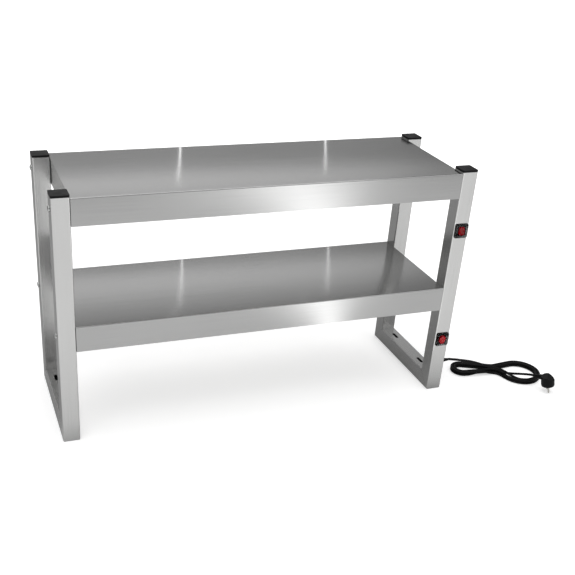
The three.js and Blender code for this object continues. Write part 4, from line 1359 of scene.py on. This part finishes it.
class FOODWARMER_OT_add_switches(bpy.types.Operator):
    """Rocker switches on the right front post, under clear splash covers"""

    bl_idname = "food_warmer.add_switches"
    bl_label = "Switches"

    # The front of the post, and the rocker's pivot, in millimetres
    POST_X = 480
    POST_FACE = -157.5
    PIVOT_Y = -157.8

    # Tilt of each rocker at rest in degrees, and how bright its red is: the upper one's half-bright red is
    # painted shade
    SWITCHES = (("upper", -9, 0.5), ("lower", 9, 1.0))

    # Housing about the post's face: its bezel, body, pocket and tabs, each by two corners
    BEZEL = ((-18, -2.9, -18), (18, -0.3, 18))
    BEZEL_CORNER = 5
    BEZEL_RIM = 0.9
    BODY = ((-13, -2, -14), (13, 15.4, 14))
    POCKET = ((-9.1, -5, -12.6), (9.1, 11.5, 12.6))
    POCKET_CORNER = 7
    TAB_X = (-6, 6)
    TAB = ((-0.5, 15, -2.4), (0.5, 20.4, 2.4))

    # Rocker about its pivot: its key by two corners, its edges, the dish in its front, and its round back
    KEY = ((-7.8, -6, -10.8), (7.8, 4, 10.8))
    KEY_EDGE = 0.9
    DISH_RADIUS = 60.7
    DISH_DEPTH = 1
    BACK_D = 16
    BACK_FRONT = ((-20, -20, -20), (20, 2, 20))
    CUTTER = 20

    # The rocker's stub pivots, and their gap in the housing
    AXLE_HALF = 9.9
    AXLE_D = 3
    AXLE_GAP = 0.2

    # Cover: half its dome's width and height, its roundings, and its walls and how far they overlap
    DOME = (11.5, 14.3)
    DOME_CORNER = 6
    DOME_EDGE = 2.8
    COVER_WALL = 0.9
    FLANGE = 1
    OVERLAP = 0.8

    def execute(self, context):
        housing, rocker, boot = self.housing(), self.rocker(), self.boot()
        black, clear = switch_plastic(), clear_boot()
        for shelf, tilt, share in self.SWITCHES:
            height = centre(f"{shelf}_switch_boot").z
            place = Matrix.Translation((self.POST_X * MM, self.POST_FACE * MM, height))
            pivot = Matrix.Translation((self.POST_X * MM, self.PIVOT_Y * MM, height))
            turn = Matrix.Rotation(math.radians(tilt), 4, "X")
            frame_twin = copy_of(housing, f"{shelf}_switch_frame", place)
            dress(frame_twin, black, stands_for=(f"{shelf}_switch_housing",))
            key = copy_of(rocker, f"{shelf}_rocker_key", pivot @ turn)
            # The share darkens the upper rocker's red as painted shade
            red = rocker_red(f"{shelf} rocker red", share)
            dress(key, red, f"{shelf}_rocker", (f"{shelf}_switch_rocker",))
            cover = copy_of(boot, f"{shelf}_splash_cover", place)
            dress(cover, clear, stands_for=(f"{shelf}_switch_boot",))
        for piece in (housing, rocker, boot):
            bpy.data.objects.remove(piece)
        return {"FINISHED"}

    def housing(self):
        """Rounded bezel, the body behind it and the rocker's pocket."""
        bezel = solid("housing", *self.BEZEL)
        front = self.BEZEL[0][1] * MM
        bevel_where(bezel, runs_along(1), self.BEZEL_CORNER * MM, 6)
        bevel_where(bezel, self.front_edges(front), self.BEZEL_RIM * MM)
        weld(bezel, solid("body", *self.BODY))
        pocket = solid("pocket", *self.POCKET)
        bevel_where(pocket, runs_along(1), self.POCKET_CORNER * MM, 8)
        bore, reach = self.AXLE_D + 2 * self.AXLE_GAP, self.AXLE_HALF + self.AXLE_GAP
        cut_away(bezel, pocket, cross_bar("axle", bore, reach, self.PIVOT_Y - self.POST_FACE))
        for x in self.TAB_X:
            weld(bezel, solid("tab", *((x + aside, y, z) for aside, y, z in self.TAB)))
        smooth(bezel, 30)
        return bezel

    def rocker(self):
        """Dished key with rounded corners, on stub pivots."""
        key = solid("rocker", *self.KEY)
        bevel_where(key, runs_along(1), self.POCKET_CORNER * MM, 8)
        dish_y = self.KEY[0][1] + self.DISH_DEPTH - self.DISH_RADIUS
        cut_away(key, cross_bar("dish", 2 * self.DISH_RADIUS, self.CUTTER, dish_y, 240))
        round_edges(key, self.KEY_EDGE * MM, 4, 50)
        back = cross_bar("back", self.BACK_D, self.BACK_D / 2, sides=40)
        cut_away(back, solid("front", *self.BACK_FRONT))
        weld(key, back, cross_bar("axle", self.AXLE_D, self.AXLE_HALF))
        smooth(key)
        return key

    def boot(self):
        """Clear cover: a flange and a hollow dome with soft corners."""
        low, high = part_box("upper_switch_boot")
        back, front = (y / MM - self.POST_FACE for y in (high.y, low.y))
        half = self.BEZEL[1][0]
        cover = solid("cover", (-half, back - self.FLANGE, -half), (half, back, half))
        bevel_where(cover, runs_along(1), self.BEZEL_CORNER * MM, 6)
        weld(cover, self.soft_box(0, front, back - self.FLANGE + self.OVERLAP))
        cut_away(cover, self.soft_box(self.COVER_WALL, front, back + 1))
        smooth(cover, 40)
        return cover

    def soft_box(self, inset, front, back):
        """The dome, or its hollow one wall inside, with rounded corners and a rounded front edge."""
        x, z = (half - inset for half in self.DOME)
        front += inset
        box = solid("soft", (-x, front, -z), (x, back, z))
        bevel_where(box, runs_along(1), (self.DOME_CORNER - inset) * MM, 6)
        bevel_where(box, self.front_edges(front * MM), (self.DOME_EDGE - inset) * MM, 5)
        return box

    def front_edges(self, front):
        """A test for the edges round a front face."""
        return lambda middle, way: middle.y < front + 0.01 * MM and abs(way.y) < 0.1


class FOODWARMER_OT_add_stage(bpy.types.Operator):
    """Pale floor, studio lamps and world light"""

    bl_idname = "food_warmer.add_stage"
    bl_label = "Stage"

    FLOOR_SIZE = 40

    # Broad lamps: name, place, size and power, all aimed at the middle of the stand
    AIM = Vector((0.1, 0, 0.3))
    LAMPS = (
        ("key_lamp", (-1.2, -1.5, 3.5), 2.6, 38),
        ("fill_lamp", (1.9, -1.5, 3.0), 2.2, 15),
        ("top_lamp", (0.2, 0.9, 3.1), 2.8, 38),
    )

    # Thin upright lamps behind the shelves: name, X, Z, length, lean in degrees and power
    STRIP_Y = 0.28
    STRIP_WIDTH = 0.005
    STRIPS = (
        ("upper_left_strip", -0.109, 0.675, 0.15, -0.8, 0.0037),
        ("upper_right_strip", 0.3036, 0.668, 0.15, 6.2, 0.0034),
        ("lower_left_strip", -0.0977, 0.4375, 0.225, 0.3, 0.0038),
        ("lower_right_strip", 0.348, 0.435, 0.22, 5.9, 0.0036),
    )

    # Floor: its colour, and its own light to the camera near the stand and far from it
    FLOOR_COLOUR = 0.8
    FLOOR_NEAR = (1.1, 0.47)
    FLOOR_FAR = (2.6, 1.0)

    # What metal sees in the floor about this middle, as (compass angle, grey): a painted reflection, a bright
    # stripe that glows only to glossy rays, and painted shade that darkens the rear half only to glossy rays
    FLOOR_MIDDLE = (0.211, -0.16)
    FLOOR_PAINTED_REFLECTION = (
        (-180, 0.32), (-150, 0.3), (-100, 0.3), (-80, 0.1), (80, 0.1), (125, 0.25),
        (146, 0.3), (152, 0.5), (160, 2.3), (168, 0.8), (176, 0.42), (180, 0.35),
    )
    FLOOR_PAINTED_SHADE = ((-180, 0), (-96, 0), (-84, 0.6), (0, 0.65), (84, 0.6), (100, 0.2), (115, 0), (180, 0))

    # What metal sees in the world: grey by compass angle, and its strength by the way's Z, 0 to 1
    COVE = (
        (-180, 0.8), (-110, 0.4), (-60, 0.3), (-20, 0.6), (0, 0.85), (16, 0.82), (25, 0.74),
        (30, 0.62), (34, 0.38), (60, 0.35), (110, 0.5), (140, 0.7), (180, 0.8),
    )
    COVE_LEVELS = ((0, 0.5), (0.325, 0.5), (0.36, 1.6), (0.4, 1.45), (0.46, 1.0), (0.52, 0.65), (1, 0.65))

    def execute(self, context):
        clear_selection()
        bpy.ops.mesh.primitive_plane_add(size=self.FLOOR_SIZE, location=(0, 0, 0))
        floor = context.object
        floor.name = "studio_floor"
        floor.data.materials.append(self.floor_material())
        for name, place, size, power in self.LAMPS:
            lamp = self.lamp(name, place, power)
            lamp.data.shape = "SQUARE"
            lamp.data.size = size
            lamp.rotation_euler = (self.AIM - Vector(place)).to_track_quat("-Z", "Y").to_euler()
        for name, x, z, length, lean, power in self.STRIPS:
            lamp = self.lamp(name, (x, self.STRIP_Y, z), power)
            lamp.data.shape = "RECTANGLE"
            lamp.data.size = self.STRIP_WIDTH
            lamp.data.size_y = length
            lamp.rotation_euler = (-math.pi / 2, math.radians(lean), 0)
            lamp.visible_camera = False
        self.world(context.scene)
        context.scene.view_settings.view_transform = "Standard"
        return {"FINISHED"}

    def lamp(self, name, place, power):
        clear_selection()
        bpy.ops.object.light_add(type="AREA", location=place)
        lamp = just_made(name)
        lamp.data.energy = power
        return lamp

    def seen_directly(self, nodes, path):
        """1 to the camera and through clear parts, else 0."""
        return nodes.math("MAXIMUM", path["Is Camera Ray"], path["Is Transmission Ray"])

    def floor_material(self):
        """Pale floor that stays white to the camera, with a painted reflection stripe and a painted dark side
        that only metal sees.
        """
        floor = Finish("pale floor", Roughness=0.9, Specular_IOR_Level=0.1, Emission_Color=(1, 1, 1, 1))
        surface = floor.shader.inputs
        path = floor.node("LightPath").outputs
        place = floor.node("TexCoord").outputs["Object"]
        reach = floor.node("VectorMath", operation="LENGTH")
        floor.link(place, reach.inputs[0])
        (near, dim), (far, bright) = self.FLOOR_NEAR, self.FLOOR_FAR
        plain = floor.map_range(reach.outputs["Value"], near, far, dim, bright)
        seen = floor.math("MULTIPLY", self.seen_directly(floor, path), plain)
        # Painted reflection: a stripe that glows only to glossy rays, with no lamp there
        stripe = floor.around(place, self.FLOOR_MIDDLE, self.FLOOR_PAINTED_REFLECTION)
        painted_reflection = floor.math("MULTIPLY", path["Is Glossy Ray"], stripe)
        floor.link(floor.math("ADD", seen, painted_reflection), surface["Emission Strength"])
        # Painted shade: the rear of the floor darkened only to glossy rays
        dark = floor.around(place, self.FLOOR_MIDDLE, self.FLOOR_PAINTED_SHADE)
        dark = floor.math("MULTIPLY", path["Is Glossy Ray"], dark)
        colour = floor.math("MULTIPLY_ADD", dark, -self.FLOOR_COLOUR, self.FLOOR_COLOUR)
        floor.link(colour, surface["Base Color"])
        self.clear_from_below(floor)
        return floor.material

    def clear_from_below(self, floor):
        """Lets a camera under the floor see the stand."""
        sides = floor.node("MixShader")
        floor.link(floor.node("NewGeometry").outputs["Backfacing"], sides.inputs[0])
        floor.link(floor.shader.outputs[0], sides.inputs[1])
        floor.link(floor.node("BsdfTransparent").outputs[0], sides.inputs[2])
        floor.link(sides.outputs[0], floor.tree.nodes["Material Output"].inputs["Surface"])

    def world(self, scene):
        """White to the camera and through clear parts, while metal sees a grey cove, lit in a low band."""
        world = scene.world or bpy.data.worlds.new("studio")
        scene.world = world
        world.use_nodes = True
        world.node_tree.nodes.clear()
        sky = Nodes(world.node_tree)
        path = sky.node("LightPath").outputs
        way = sky.node("TexCoord").outputs["Generated"]
        cove = sky.node("Background")
        sky.link(sky.around(way, (0, 0), self.COVE), cove.inputs["Color"])
        split = sky.node("SeparateXYZ")
        sky.link(way, split.inputs[0])
        sky.link(sky.ramp(split.outputs["Z"], self.COVE_LEVELS), cove.inputs["Strength"])
        plain = sky.node("Background")
        plain.inputs["Color"].default_value = (1, 1, 1, 1)
        strength = sky.math("MULTIPLY_ADD", self.seen_directly(sky, path), 0.5, 0.5)
        sky.link(strength, plain.inputs["Strength"])
        mix = sky.node("MixShader")
        sky.link(path["Is Glossy Ray"], mix.inputs[0])
        sky.link(plain.outputs[0], mix.inputs[1])
        sky.link(cove.outputs[0], mix.inputs[2])
        sky.link(mix.outputs[0], sky.node("OutputWorld").inputs["Surface"])


STEPS = (
    FOODWARMER_OT_add_camera,
    FOODWARMER_OT_add_plug,
    FOODWARMER_OT_add_cord,
    FOODWARMER_OT_finish_frames,
    FOODWARMER_OT_add_bolts,
    FOODWARMER_OT_add_shelves,
    FOODWARMER_OT_add_lamps,
    FOODWARMER_OT_add_switches,
    FOODWARMER_OT_add_stage,
)


class FOODWARMER_PT_panel(bpy.types.Panel):
    """Sizes, colours and building steps of the food warmer"""

    bl_idname = "FOODWARMER_PT_panel"
    bl_label = "Food Warmer"
    bl_space_type = "VIEW_3D"
    bl_region_type = "UI"
    bl_category = "Food Warmer"

    def draw(self, context):
        layout = self.layout
        for title, group in (("Sizes", sizes()), ("Colours", colours())):
            box = layout.box()
            box.label(text=title)
            for name in group.bl_rna.properties.keys():
                if name not in ("rna_type", "name"):
                    box.prop(group, name)
        column = layout.column(align=True)
        for step in STEPS:
            column.operator(step.bl_idname)


CLASSES = (WarmerSizes, WarmerColours, *STEPS, FOODWARMER_PT_panel)


def register():
    for entry in CLASSES:
        bpy.utils.register_class(entry)
    bpy.types.Scene.warmer_sizes = bpy.props.PointerProperty(type=WarmerSizes)
    bpy.types.Scene.warmer_colours = bpy.props.PointerProperty(type=WarmerColours)


def unregister():
    del bpy.types.Scene.warmer_sizes
    del bpy.types.Scene.warmer_colours
    for entry in reversed(CLASSES):
        bpy.utils.unregister_class(entry)


def main():
    register()
    for step in STEPS:
        space, name = step.bl_idname.split(".")
        getattr(getattr(bpy.ops, space), name)()
    clear_selection()


if __name__ == "__main__":
    main()
